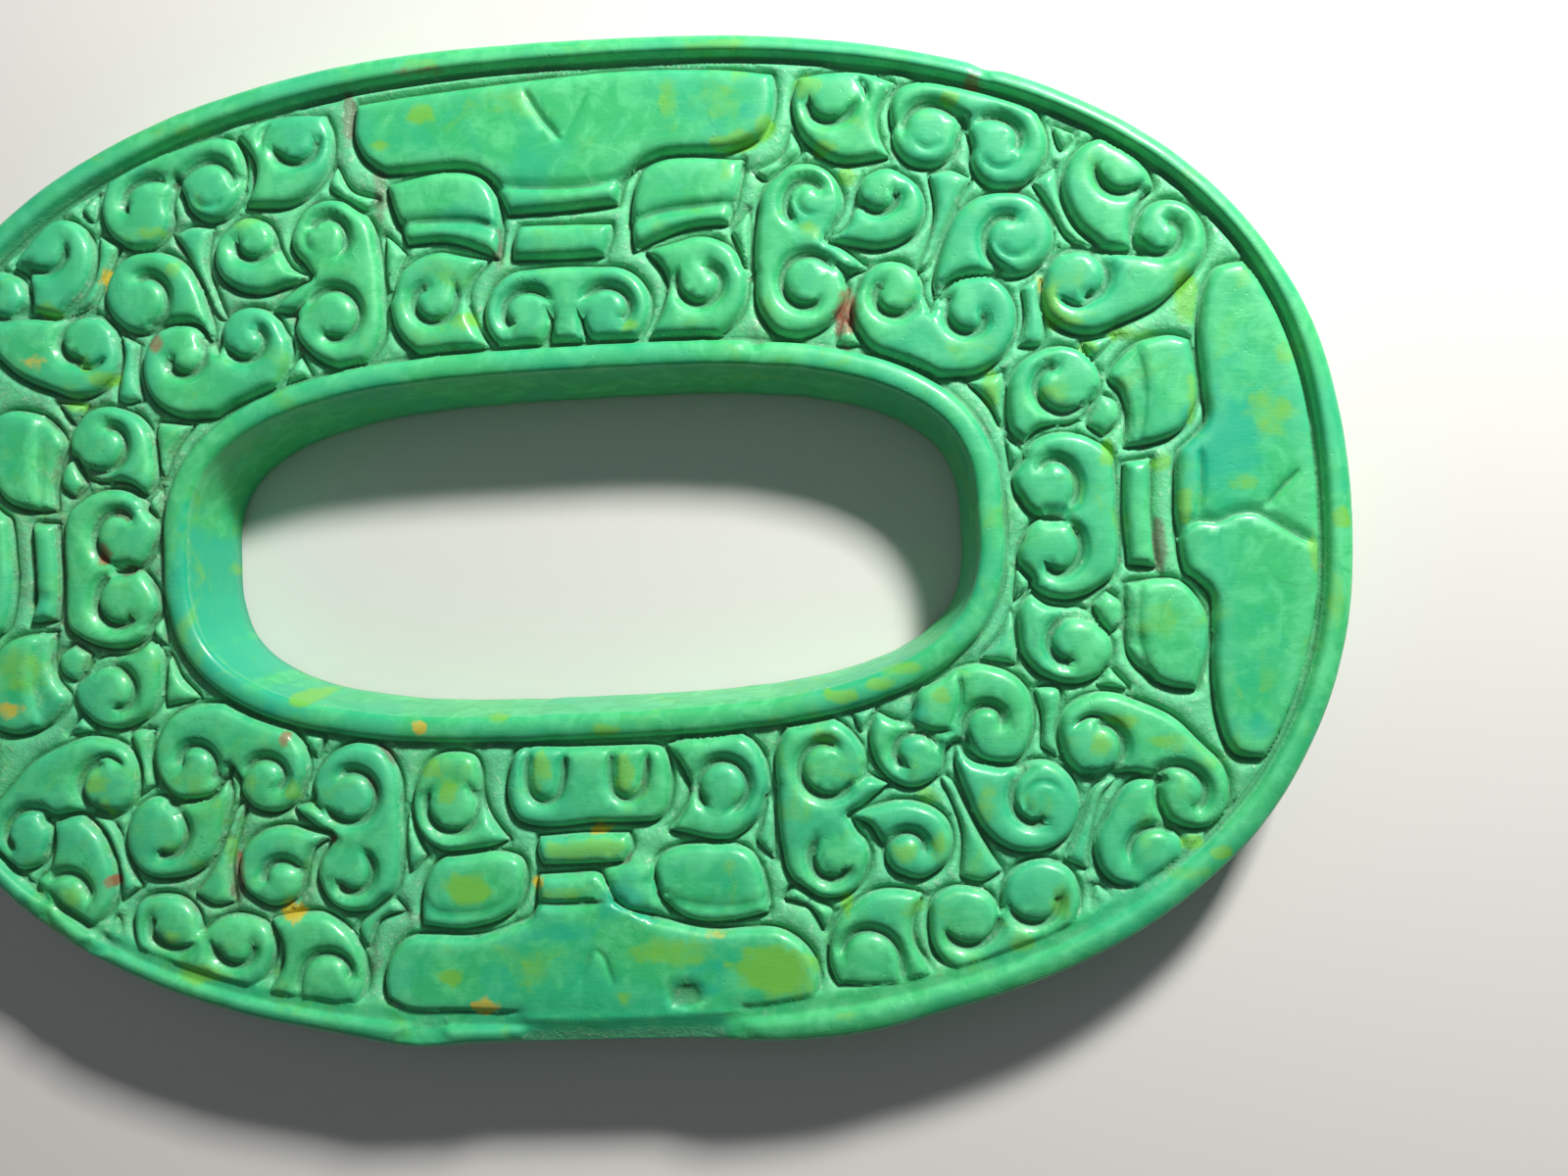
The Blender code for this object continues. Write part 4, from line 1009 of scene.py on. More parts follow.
class CarvedShape:
    """A motif in its own place on the ring, with its outline, heads and grooves."""

    step = 0.29 * MM
    turn_step = 18.0
    dome_reach = 0.8 * MM
    dome_power = 0.62
    wall_share = 0.06
    wall_insets = (0.0, 0.08, -0.08, 0.19, -0.2, 0.34, 0.56, -0.38)
    head_dome = 0.09 * MM
    head_fade = 0.6
    groove_steep = 0.36 * MM
    groove_gentle = 0.72 * MM
    groove_depth = 0.56 * MM
    hooked = 1.2
    fading_end, open_end, drawn_end = 0.3, 1.0, 0.6
    free_half = 0.341 * MM
    free_depth = 0.476 * MM
    lip_halves = (0.14 * MM, 0.4 * MM)
    lip_depth = 0.13 * MM
    lip_count = 14
    lowest = 0.02 * MM
    level_range = (-0.05, 0.0)
    tilt_range = (-0.012, 0.012)

    def __init__(
        self, name: str, sides: tuple[int, int], form: RingForm, strays: Strays,
        chance: random.Random,
    ) -> None:
        """Lays the motif out in its quarter.

        Args:
            name: the motif's name.
            sides: the quarter, as the signs of X and Y.
            form: the ring's sizes.
            strays: where the carver's hand put things.
            chance: the source of the shape's own small tilt and level.
        """
        self.form = form
        self.motif = VARIANTS.get((name, *sides), MOTIFS[name])
        self.sides = np.array(sides)
        self.side = sides[0] * sides[1]
        self.strays = strays
        self.scale = np.array([form.half_length, form.half_width]) / 100
        points, corners = self.control_points()
        self.outline = self.placed(spline(points, corners, True, self.step))
        following = np.roll(self.outline, -1, axis=0)
        area = (self.outline[:, 0] * following[:, 1] - self.outline[:, 1] * following[:, 0]).sum()
        if area < 0:
            self.outline = self.outline[::-1]
        self.height = form.carving_depth * self.motif.rise
        self.level = chance.uniform(*self.level_range) * MM
        self.tilt = np.array([chance.uniform(*self.tilt_range) for _ in range(2)])
        self.middle = self.outline.mean(axis=0)
        self.heads = [
            (self.placed(middle[None])[0], head.radius * self.scale[0])
            for head in self.motif.heads
            for middle in self.folded([np.array([head.x, head.y]) * self.scale])
        ]
        lips = LIPS.get(sides, {}).get(name, ())
        self.cuts = [*self.head_grooves(), *self.free_grooves(), *self.drawn_lines(), *self.folds(lips)]

    def control_points(self) -> tuple[list[Array], list[bool]]:
        """The points that the motif's outline goes through, and which of them are corners."""
        points: list[Array] = []
        corners: list[bool] = []
        for item in self.motif.outline:
            if isinstance(item, Turn):
                stretch = self.turn_points(item)
                points.extend(stretch)
                corners.extend([False] * len(stretch))
            else:
                points.append(np.array(item[:2]) * self.scale)
                corners.append(len(item) > 2)
        if self.motif.fold is not Fold.NONE:
            points += [point * self.motif.fold.value for point in points[-2:0:-1]]
            corners += corners[-2:0:-1]
            corners[0] = False
        return points, corners

    def turn_points(self, turn: Turn) -> Array:
        """Points of a round stretch about one head, before it is put in its quarter."""
        count = max(2, round(abs(turn.end - turn.start) / self.turn_step) + 1)
        shares = np.linspace(0, 1, count)
        radii = np.interp(shares, np.linspace(0, 1, len(turn.radii)), turn.radii) * self.scale[0]
        angles = turn.start + (turn.end - turn.start) * shares
        return self.arc(self.motif.heads[turn.head], angles, radii)

    def arc(self, head: Head, angles: Array, radii: Array) -> Array:
        """Points about a head at angles in degrees, before it is put in its quarter."""
        turned = np.radians(angles)
        middle = np.array([head.x, head.y]) * self.scale
        return middle + np.stack([radii * np.cos(turned), radii * np.sin(turned)], axis=1)

    def folded(self, lines: list[Array]) -> list[Array]:
        """The lines, with their mirror images where the motif is folded."""
        if self.motif.fold is Fold.NONE:
            return lines
        return lines + [line * self.motif.fold.value for line in lines]

    def placed(self, line: Array) -> Array:
        """A line of the layout where it lies on this ring, kept clear of the plain edges."""
        form = self.form
        places = line * self.sides + form.carving_middle
        if not self.motif.true_place:
            places = self.strays.moved(places)
        places = form.outline.pushed(places, form.rim_foot + form.field_margin, True)
        return form.hole.pushed(places, form.border_foot + form.field_margin, False)

    def open_line(self, points: tuple) -> Array:
        """A smooth line through points of the layout, before it is put in its quarter."""
        places = [np.array(point) * self.scale for point in points]
        return spline(places, [False] * len(places), False, self.step)

    def head_grooves(self) -> list[Cut]:
        """The grooves that curl round the heads, steep beside the head and gentle outside."""
        cuts = []
        for head in self.motif.heads:
            angles, reaches = np.array(head.groove).T
            turn = np.radians(angles[-1] - angles[0])
            count = max(5, round(turn * reaches.mean() * MM / self.step))
            turned = np.linspace(angles[0], angles[-1], count)
            reach = np.interp(turned, angles, reaches) * MM
            reach[1:-1] = (reach[:-2] + 2 * reach[1:-1] + reach[2:]) / 4
            shares = [self.open_end if end < self.hooked else self.fading_end for end in reaches[[0, -1]]]
            for k, line in enumerate(self.folded([self.arc(head, turned, reach)])):
                side = -self.side if k else self.side
                halves = (self.groove_steep, self.groove_gentle)[::side]
                cuts.append(Cut(self.placed(line), *halves, self.groove_depth, side, *shares))
        return cuts

    def free_grooves(self) -> list[Cut]:
        """The grooves that are drawn point by point."""
        halves = (self.free_half, self.free_half)
        return [
            Cut(self.placed(line), *halves, self.free_depth)
            for groove in self.motif.grooves
            for line in self.folded([self.open_line(groove)])
        ]

    def drawn_lines(self) -> list[Cut]:
        """The grooves and steps that have a form of their own."""
        cuts = []
        for drawn in self.motif.lines:
            line = self.placed(self.open_line(drawn.points))
            halves = np.array([drawn.left, drawn.right][:: self.side]) * MM
            ends = (self.drawn_end, self.drawn_end)
            cuts.append(Cut(line, *halves, drawn.depth * MM, drawn.steep * self.side, *ends))
        return cuts

    def folds(self, lips: tuple[Lip, ...]) -> list[Cut]:
        """The folded edges inside the heads."""
        cuts = []
        for lip in lips:
            middle, radius = self.heads[lip.head]
            angles = np.radians(np.linspace(lip.start, lip.end, self.lip_count))
            arc = np.stack([np.cos(angles), np.sin(angles)], axis=1) * radius * lip.share
            cuts.append(Cut(middle + arc, *self.lip_halves, self.lip_depth, 1))
        return cuts

    def top(self, places: Array, depth: Array) -> tuple[Array, Array]:
        """The shape's upper surface.

        Args:
            places: points in plan, inside the outline.
            depth: how far inside the outline each one is.

        Returns:
            How far each point stands over the ground, and how deep the grooves are there.
        """
        t = np.clip(depth / self.dome_reach, 0, 1)
        dome = (1 - (1 - t) ** 3) ** self.dome_power
        height = self.height * (self.wall_share + (1 - self.wall_share) * dome)
        height += self.level + (places - self.middle) @ self.tilt * t
        for middle, radius in self.heads:
            out = np.linalg.norm(places - middle, axis=1) / radius
            beyond = 1 - smooth((out - 1) / self.head_fade)
            height -= self.head_dome * np.where(out < 1, out**2, beyond)
        cut = np.zeros(len(places))
        for groove in self.cuts:
            cut = np.maximum(cut, groove.depth_at(places))
        return np.maximum(height - cut, self.lowest), cut

    def wall_rows(self) -> list[tuple[float, Array]]:
        """Lines of places along the outline, each with how far inside the shape it lies."""
        left = leftwards(self.outline, True)
        return [(inset * MM, self.outline + left * inset * MM) for inset in self.wall_insets]


class VertexPlan:
    """Places in plan for the carved face's vertices, kept apart from each other."""

    cell = 0.3 * MM

    def __init__(self) -> None:
        """Starts with no places."""
        self.places: list[tuple[float, float]] = []
        self.cells: dict[tuple[int, int], list[tuple[float, float]]] = {}

    def add(self, places: Array, spacing: float) -> None:
        """Adds the places that are at least this far from every earlier one.

        Args:
            places: points in plan.
            spacing: the least distance between vertices, at most one cell, or 0 for all.
        """
        limit = spacing * spacing
        keys = np.floor(places / self.cell).astype(int)
        for (x, y), (column, row) in zip(places.tolist(), keys.tolist()):
            if limit and any(
                (x - px) ** 2 + (y - py) ** 2 < limit
                for i in (column, column - 1, column + 1)
                for j in (row, row - 1, row + 1)
                for px, py in self.cells.get((i, j), ())
            ):
                continue
            self.cells.setdefault((column, row), []).append((x, y))
            self.places.append((x, y))


class Body:
    """The ring's vertices and faces while they are added."""

    def __init__(self, verts: Array, faces: Array) -> None:
        """Starts with the carved face."""
        self.verts = [verts]
        self.faces = [faces]
        self.count = len(verts)

    def add(self, verts: Array) -> Array:
        """Adds vertices and gives their numbers."""
        self.verts.append(verts)
        self.count += len(verts)
        return np.arange(self.count - len(verts), self.count)

    def wall(self, top: Array, rows: list[Array], outward: bool) -> Array:
        """Adds rows of vertices below a ring, joined by strips.

        Args:
            top: the ring's vertices, by number.
            rows: the rows of new vertices, downwards, each as long as the ring.
            outward: whether the wall faces away from the ring's middle.

        Returns:
            The last row's vertices, by number.
        """
        upper = top
        for row in rows:
            lower = self.add(row)
            corners = [upper, lower, np.roll(lower, -1), np.roll(upper, -1)]
            self.faces.append(np.stack(corners if outward else corners[::-1], axis=1))
            upper = lower
        return upper

    def mesh(self, name: str) -> bpy.types.Mesh:
        """Makes the mesh."""
        mesh = bpy.data.meshes.new(name)
        faces = [face for part in self.faces for face in part.tolist()]
        mesh.from_pydata(np.concatenate(self.verts).tolist(), [], faces)
        mesh.validate()
        mesh.shade_smooth()
        return mesh


@dataclass
class CarvedRing:
    """The whole ring as one closed body, with its relief, plain edges, walls and back.

    The rim's and the border's rows are their insets with how far they lie below the carving's
    level, and the back's rows their insets and heights, all in millimetres.
    """

    form: RingForm
    outer_count: int = 760
    inner_count: int = 400
    fill_step: float = 0.44 * MM
    fill_gap: float = 0.26 * MM
    groove_gap: float = 0.10 * MM
    edge_gap: float = 0.065 * MM
    wall_gap: float = 0.11 * MM
    fill_inset: float = 1.75 * MM
    fill_outset: float = 1.9 * MM
    gap: float = 0.2 * MM
    reach: float = 0.8 * MM
    rim_fall: float = 0.12 * MM
    rim_fall_reach: float = 8.0 * MM
    headroom: float = 0.06 * MM
    ground_lift: float = 0.36 * MM
    ground_reach: float = 0.45 * MM
    back_round: float = 0.6 * MM
    back_step: float = 2.2 * MM
    back_margin: float = 1.8 * MM
    side_bulge: float = 0.05 * MM
    side_shares: tuple[float, ...] = (0.85, 0.6, 0.35, 0.12)
    hole_shares: tuple[float, ...] = (0.9, 0.75, 0.55, 0.35, 0.15)
    taper_power: float = 0.8
    foot_share: float = 0.9
    edge_waves: Lumps = Lumps(3.5, 0.015, 4.0, middle=1.0)
    hole_waves: Lumps = Lumps(2.6, 0.05, 9.0)
    level_waves: Lumps = Lumps(6.0, 0.035, 2.0, octaves=1, middle=-1.0)
    ground_lumps: Lumps = Lumps(0.9, 0.05, 5.0)
    rim_lumps: Lumps = Lumps(2.2, 0.04, 6.0)
    skin: Lumps = Lumps(1.1, 0.014, 3.0, octaves=3)
    side_lumps: Lumps = Lumps(5.0, 0.035, 12.0)
    side_lump_shift: float = 40 * MM
    back_lumps: Lumps = Lumps(9.0, 0.03, 14.0, middle=1.0)
    lost_rim_ends: Lumps = Lumps(1.5, 0.8, 17.0)
    lost_rim_north: float = -15 * MM
    sunk_from: float = 0.25 * MM
    sunk_fade: float = 0.3 * MM
    cut_sunk: float = 0.4 * MM
    cut_share: float = 0.8
    seed: int = 11
    part_rounds: int = 5
    rim_rows: tuple[tuple[float, float], ...] = (
        (0.0, 0.51), (0.06, 0.38), (0.15, 0.27), (0.30, 0.16), (0.52, 0.06), (0.72, 0.02),
        (0.85, 0.06), (0.95, 0.20), (1.04, 0.44), (1.14, 0.84), (1.34, 0.98), (1.58, 0.86),
    )
    border_rows: tuple[tuple[float, float], ...] = (
        (0.0, 0.46), (0.05, 0.30), (0.14, 0.17), (0.30, 0.07), (0.55, 0.02), (0.80, 0.02),
        (1.04, 0.06), (1.24, 0.15), (1.38, 0.30), (1.47, 0.50), (1.55, 0.82), (1.75, 0.86),
    )
    back_rows: tuple[tuple[float, float], ...] = ((0.1, 0.27), (0.32, 0.08), (0.62, 0.0))
    shapes: list[CarvedShape] = field(default_factory=list)

    def __post_init__(self) -> None:
        """Lays out every motif in each quarter or half that it belongs to."""
        strays = Strays(self.form)
        chance = random.Random(self.seed)
        for name, motif in MOTIFS.items():
            for side_x in (1,) if motif.fold is Fold.ACROSS_X else (1, -1):
                for side_y in (1,) if motif.fold is Fold.ACROSS_Y else (1, -1):
                    self.shapes.append(CarvedShape(name, (side_x, side_y), self.form, strays, chance))
        for _ in range(self.part_rounds):
            self.part_shapes()

    def part_shapes(self) -> None:
        """Moves the outlines of neighbouring shapes a step clear of each other."""
        for shape in self.shapes:
            for other in self.shapes:
                if other is not shape and around(shape.outline, other.outline, self.gap).any():
                    shape.outline = clear_of(shape.outline, other.outline, self.gap)

    def wear(self, places: Array) -> Array:
        """How far the outer edge is worn back beside each place."""
        worn = self.edge_waves.at(places)
        for spot in WORN_EDGES:
            beside = np.abs(places[:, 0] - spot.place * MM)
            near = smooth(1 - beside / (spot.half * MM)) * (places[:, 1] * spot.side > 0)
            worn += spot.depth * MM * near
        return worn - self.stray(places)

    def stray(self, places: Array) -> Array:
        """How far the outer edge lies outside a true oval beside each place."""
        angles, outwards = np.array(EDGE_STRAYS).T
        outwards = outwards * MM
        bearing = np.degrees(np.arctan2(places[:, 1], places[:, 0])) % 360
        after = np.searchsorted(angles, bearing, side="right").clip(1, len(angles) - 1)
        share = (bearing - angles[after - 1]) / (angles[after] - angles[after - 1])
        return outwards[after - 1] + smooth(share) * (outwards[after] - outwards[after - 1])

    def outer_row(self, inset: float) -> Array:
        """The outline moved inwards, with its worn places."""
        base = self.form.outline.ring(self.outer_count)
        fade = max(0.0, 1 - inset / self.form.rim_foot)
        return base + leftwards(base, True) * (inset + self.wear(base) * fade)[:, None]

    def inner_row(self, outset: float) -> Array:
        """The hole's edge moved outwards."""
        base = self.form.hole.ring(self.inner_count)
        return base - leftwards(base, True) * (outset + self.hole_waves.at(base))[:, None]

    def beside_walls(self, places: Array) -> Array:
        """Each place's distance to the nearest wall of the carving, below zero inside a shape."""
        form = self.form
        gap = np.minimum(
            form.outline.inset(places) - form.rim_foot, -form.hole.inset(places) - form.border_foot
        )
        for shape in self.shapes:
            near = np.flatnonzero(around(places, shape.outline, self.reach))
            if len(near):
                gap[near] = np.minimum(gap[near], -depth_inside(places[near], shape.outline))
        return gap

    def vertex_plan(self) -> Array:
        """The plan places of the carved face's vertices, the two edges' rows first."""
        slack, slack_share = 0.035 * MM, 0.12
        edge_band, groove_margin = 0.1 * MM, 0.05 * MM
        plan = VertexPlan()
        for inset, _ in self.rim_rows:
            plan.add(self.outer_row(inset * MM), 0)
        for outset, _ in self.border_rows:
            plan.add(self.inner_row(outset * MM), 0)
        for row in zip(*(shape.wall_rows() for shape in self.shapes)):
            inside = row[0][0]
            places = np.concatenate([line for _, line in row])
            gap = self.beside_walls(places)
            true = np.abs(gap + inside) < slack + slack_share * abs(inside)
            plan.add(places[true], self.edge_gap if abs(inside) < edge_band else self.wall_gap)
        for shape in self.shapes:
            for groove in shape.cuts:
                for line in groove.rows(shape.step):
                    within = depth_inside(line, shape.outline) > groove_margin
                    plan.add(line[within], self.groove_gap)
        plan.add(self.fill(), self.fill_gap)
        return np.array(plan.places)

    def fill(self) -> Array:
        """An even sowing of places over the field."""
        step = self.fill_step
        x, y = self.sown(step, step * math.sqrt(0.75))
        x = x + (np.arange(len(y)) % 2)[:, None] * step / 2
        return self.between(x, y, self.fill_inset, self.fill_outset)

    def sown(self, across: float, along: float) -> tuple[Array, Array]:
        """Columns and rows of places over the ring's box, these steps apart."""
        columns = np.arange(-self.form.half_length, self.form.half_length, across)
        rows = np.arange(-self.form.half_width, self.form.half_width, along)
        x, y = np.meshgrid(columns, rows)
        return x, y

    def between(self, x: Array, y: Array, inset: float, outset: float) -> Array:
        """The places that lie this far inside the outline and this far outside the hole."""
        places = np.stack([x.ravel(), y.ravel()], axis=1)
        inside = self.form.outline.inset(places) > inset
        return places[inside & (self.form.hole.inset(places) < -outset)]

    def level(self, places: Array, inset: Array) -> Array:
        """The height that the highest parts of the carving reach."""
        fall = self.rim_fall * (1 - np.clip(inset / self.rim_fall_reach, 0, 1)) ** 2
        return self.form.thickness - self.headroom - fall + self.level_waves.at(places)

    def worn_away(self, places: Array) -> Array:
        """How far the groove inside the rim is worn shallow, from 0 to 1."""
        north, fade = 17 * MM, 5 * MM
        middle, half, end_fade = 3 * MM, 37 * MM, 6 * MM
        south = smooth((-places[:, 1] - north) / fade)
        return south * smooth((half - np.abs(places[:, 0] - middle)) / end_fade)

    def lost_rim(self, places: Array) -> Array:
        """How far the rim is worn off altogether, from 0 to 1."""
        ragged = self.lost_rim_ends.at(places)
        lost = np.zeros(len(places))
        for place, half, fade in LOST_RIM:
            beside = np.abs(places[:, 0] - place * MM) + ragged
            lost = np.maximum(lost, smooth((half * MM - beside) / (fade * MM)))
        return lost * (places[:, 1] < self.lost_rim_north)

    def edge_distances(self, places: Array) -> tuple[Array, Array]:
        """How far each vertex lies inside the outline and outside the hole."""
        inset, outset = self.form.outline.inset(places), -self.form.hole.inset(places)
        edge_count = len(self.rim_rows) * self.outer_count
        both_count = edge_count + len(self.border_rows) * self.inner_count
        rim, border = np.array(self.rim_rows) * MM, np.array(self.border_rows) * MM
        inset[:edge_count] = np.repeat(rim[:, 0], self.outer_count)
        outset[edge_count:both_count] = np.repeat(border[:, 0], self.inner_count)
        return inset, outset

    def relief(self, places: Array, gap: Array) -> tuple[Array, Array, Array]:
        """The raised shapes.

        Args:
            places: the vertices in plan.
            gap: how far each one lies from the plain edges' feet.

        Returns:
            The distance to the nearest wall, the height over the ground and the grooves' depth.
        """
        raised, cut = np.zeros(len(places)), np.zeros(len(places))
        for shape in self.shapes:
            near = np.flatnonzero(around(places, shape.outline, self.reach))
            depth = depth_inside(places[near], shape.outline)
            gap[near] = np.minimum(gap[near], -depth)
            inner = depth > 0.02 * MM
            top, grooves = shape.top(places[near[inner]], depth[inner])
            raised[near[inner]] = np.maximum(raised[near[inner]], top)
            cut[near[inner]] = np.maximum(cut[near[inner]], grooves)
        return gap, raised, cut

    def ground(self, places: Array, gap: Array, inset: Array, worn: Array) -> Array:
        """How far the ground between the shapes lies below the carving's level."""
        lump_fade, rim_reach, worn_ground = 0.25 * MM, 1.4, 0.34 * MM
        lift = self.ground_lift * smooth(gap / self.ground_reach)
        lift += self.ground_lumps.at(places) * smooth(gap / lump_fade)
        ground = self.form.carving_depth - lift
        near_rim = 1 - smooth((inset / MM - rim_reach) / rim_reach)
        return ground - worn * near_rim * (ground - worn_ground).clip(0)

    def rim(self, places: Array, inset: Array, worn: Array, lost: Array) -> Array:
        """How far the rim lies below the carving's level."""
        worn_drop, worn_from, worn_fade = 0.38 * MM, 0.6, 0.5
        edge_drop, fall, least_drop = 0.72, 0.48, 0.06
        drop = np.interp(inset / MM, *np.array(self.rim_rows).T) * MM
        drop += self.rim_lumps.at(places)
        drop += worn * (worn_drop - drop) * smooth((inset / MM - worn_from) / worn_fade)
        slope = (edge_drop - fall * inset / MM).clip(least_drop, None) * MM
        return drop + lost * (slope - drop)

    def survey(self, places: Array) -> tuple[Array, Array]:
        """The carved face's height at each vertex.

        Args:
            places: the vertices in plan, as vertex_plan gives them.

        Returns:
            The heights, and how deep in the ground between shapes each vertex lies, 0 to 1.
        """
        form = self.form
        rim_end, rim_fade, lost_fade = 1.38, 0.2, 0.8
        border_end, border_fade = 1.6, 0.15
        inset, outset = self.edge_distances(places)
        worn, lost = self.worn_away(places), self.lost_rim(places)
        gap = np.minimum(inset - form.rim_foot, outset - form.border_foot)
        gap, raised, cut = self.relief(places, gap)
        ground = self.ground(places, gap, inset, worn)
        drop = np.where(raised > 0, np.minimum(form.carving_depth - raised, ground), ground)
        past_rim = inset / MM - rim_end - rim_fade * lost
        in_rim = 1 - smooth(past_rim / (rim_fade + lost_fade * lost))
        drop += (self.rim(places, inset, worn, lost) - drop) * in_rim
        in_border = 1 - smooth((outset / MM - border_end) / border_fade)
        border = np.interp(outset / MM, *np.array(self.border_rows).T) * MM
        drop += (border - drop) * in_border
        level = self.level(places, inset)
        heights = level - drop + self.skin.at(places)
        for chip in CHIPS:
            self.break_off(chip, places, heights)
        heights = np.minimum(heights, level)
        sunk = np.clip((level - heights - self.sunk_from) / self.sunk_fade, 0, 1)
        return heights, np.maximum(sunk, np.clip(cut / self.cut_sunk, 0, 1) * self.cut_share)

    def break_off(self, chip: Chip, places: Array, heights: Array) -> None:
        """Lowers the heights where a chip is missing."""
        reach, edge, fade = 4 * MM, 1.25, 0.7
        break_up, lump_size, seed = 0.35, 0.7 * MM, 8.0
        x, y = places[:, 0] - chip.x * MM, places[:, 1] - chip.y * MM
        near = np.flatnonzero(np.hypot(x, y) < reach)
        far = np.hypot(x[near] / (chip.half_x * MM), y[near] / (chip.half_y * MM))
        ragged = far * (1 + break_up * unevenness(places[near], lump_size, seed, 2))
        heights[near] -= chip.depth * MM * smooth((edge - ragged) / fade)

    def carved_face(self) -> tuple[Array, Array, dict[str, Array]]:
        """The carved face.

        Returns:
            Its vertices, its triangles and its marks by the name of their mesh attribute.
        """
        crevice_margin = 0.4 * MM
        plan = self.vertex_plan()
        rings = [(0, self.outer_count), (len(self.rim_rows) * self.outer_count, self.inner_count)]
        faces = triangles(plan, rings)
        heights, sunk = self.survey(plan)
        edge = np.minimum(self.form.outline.inset(plan), -self.form.hole.inset(plan))
        # The cavity mark sets the painted shade in the crevices and the painted highlight on the ridges
        stands = cavity(heights, faces)
        stands = np.where(stands < 0, stands * smooth(edge / crevice_margin), stands)
        return np.column_stack([plan, heights]), faces, {"sunk": sunk, "cavity": stands}

    def build(self) -> bpy.types.Object:
        """Makes the ring as one closed mesh."""
        verts, faces, marks = self.carved_face()
        log.info("carved face: %d vertices, %d triangles", len(verts), len(faces))
        body = Body(verts, faces)
        outer_top = np.arange(self.outer_count)
        inner_top = len(self.rim_rows) * self.outer_count + np.arange(self.inner_count)
        outer = body.wall(outer_top, self.outer_wall(verts[outer_top, 2]), True)
        inner = body.wall(inner_top, self.hole_wall(verts[inner_top, 2]), False)
        self.add_back(body, outer, inner)
        mesh = body.mesh("carved_ring")
        plan = np.concatenate(body.verts)[:, :2]
        for tint, rows in PATCHES.items():
            marks[tint.value] = patch_mask(plan, [Patch(*row) for row in rows])
        for name, values in marks.items():
            layer = mesh.attributes.new(name, "FLOAT", "POINT")
            padded = np.zeros(len(plan), dtype=np.float32)
            padded[: len(values)] = values
            layer.data.foreach_set("value", padded)
        ring = bpy.data.objects.new("carved_ring", mesh)
        bpy.context.scene.collection.objects.link(ring)
        return ring

    def outer_wall(self, top: Array) -> list[Array]:
        """The outer side wall's rows below the rim, down to the back."""
        edge = self.outer_row(0)
        rows = [self.side_row(edge, top, share, self.side_bulge) for share in self.side_shares]
        for inset, height in self.back_rows:
            row = edge + leftwards(edge, True) * inset * MM
            rows.append(np.column_stack([row, np.full(len(row), height * MM)]))
        return rows

    def hole_wall(self, top: Array) -> list[Array]:
        """The hole's wall's rows below the border, which close in towards the back."""
        taper = self.form.hole_taper
        rows = []
        for share in self.hole_shares:
            row = self.inner_row(-taper * (1 - share) ** self.taper_power)
            rows.append(self.side_row(row, top, share, 0.0))
        for outset, height in self.back_rows:
            row = self.inner_row(outset * MM - taper)
            rows.append(np.column_stack([row, np.full(len(row), height * MM)]))
        return rows

    def side_row(self, row: Array, top: Array, share: float, bulge: float) -> Array:
        """One row of a side wall, a share of the way up, with the hand's unevenness."""
        lumps = self.side_lumps.at(row + share * self.side_lump_shift)
        moved = row + leftwards(row, True) * (lumps + bulge * (1 - share))[:, None]
        foot = self.back_round * self.foot_share
        return np.column_stack([moved, foot + (top - foot) * share])

    def add_back(self, body: Body, outer: Array, inner: Array) -> None:
        """Adds the flat back, which is left a little uneven by the saw.

        Args:
            body: the body so far.
            outer: the back edge's ring of vertices, by number.
            inner: the hole's ring of vertices, by number.
        """
        x, y = self.sown(self.back_step, self.back_step)
        grid = self.between(x, y, self.back_margin, self.back_margin)
        lift = self.back_lumps.at(grid).clip(0)
        index = np.concatenate([outer, inner, body.add(np.column_stack([grid, lift]))])
        plan = np.concatenate(body.verts)[index, :2]
        faces = triangles(plan, [(0, len(outer)), (len(outer), len(inner))])
        body.faces.append(index[faces][:, ::-1])

    def dress(self, ring: bpy.types.Object, finish: "StoneFinish") -> None:
        """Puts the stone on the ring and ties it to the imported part."""
        ring.data.materials.append(finish.material())
        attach(ring, BODY)
        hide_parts(NODE)


def triangles(plan: Array, rings: list[tuple[int, int]]) -> Array:
    """Triangulates places in plan between an outer and an inner ring.

    Args:
        plan: the places.
        rings: the outer and then the inner ring, each as its first place and its length.

    Returns:
        The triangles, anticlockwise, as rows of three places' numbers.
    """
    edges = [(first + k, first + (k + 1) % count) for first, count in rings for k in range(count)]
    _, _, faces, sources, _, _ = delaunay_2d_cdt(plan.tolist(), edges, [], 0, 1e-9)
    first_source = np.array([source[0] if source else -1 for source in sources])
    found = first_source[np.array(faces)]
    keep = (found >= 0).all(axis=1)
    for (first, count), outside in zip(rings, (True, False)):
        on_ring = ((found >= first) & (found < first + count)).all(axis=1)
        doubtful = np.flatnonzero(on_ring)
        depth = depth_inside(plan[found[doubtful]].mean(axis=1), plan[first : first + count])
        keep[doubtful] &= (depth > 0) if outside else (depth < 0)
    return found[keep]


def cavity(heights: Array, faces: Array) -> Array:
    """How far each vertex stands out from those round it, from -1 in a crevice to 1 on a ridge."""
    rounds, full = 9, 0.16 * MM
    pairs = np.concatenate([faces[:, [0, 1]], faces[:, [1, 2]], faces[:, [2, 0]]])
    pairs = np.concatenate([pairs, pairs[:, ::-1]])
    number = np.bincount(pairs[:, 0], minlength=len(heights))
    mean = heights.copy()
    for _ in range(rounds):
        mean = np.bincount(pairs[:, 0], mean[pairs[:, 1]], len(heights)) / np.maximum(number, 1)
    return np.clip((heights - mean) / full, -1, 1)


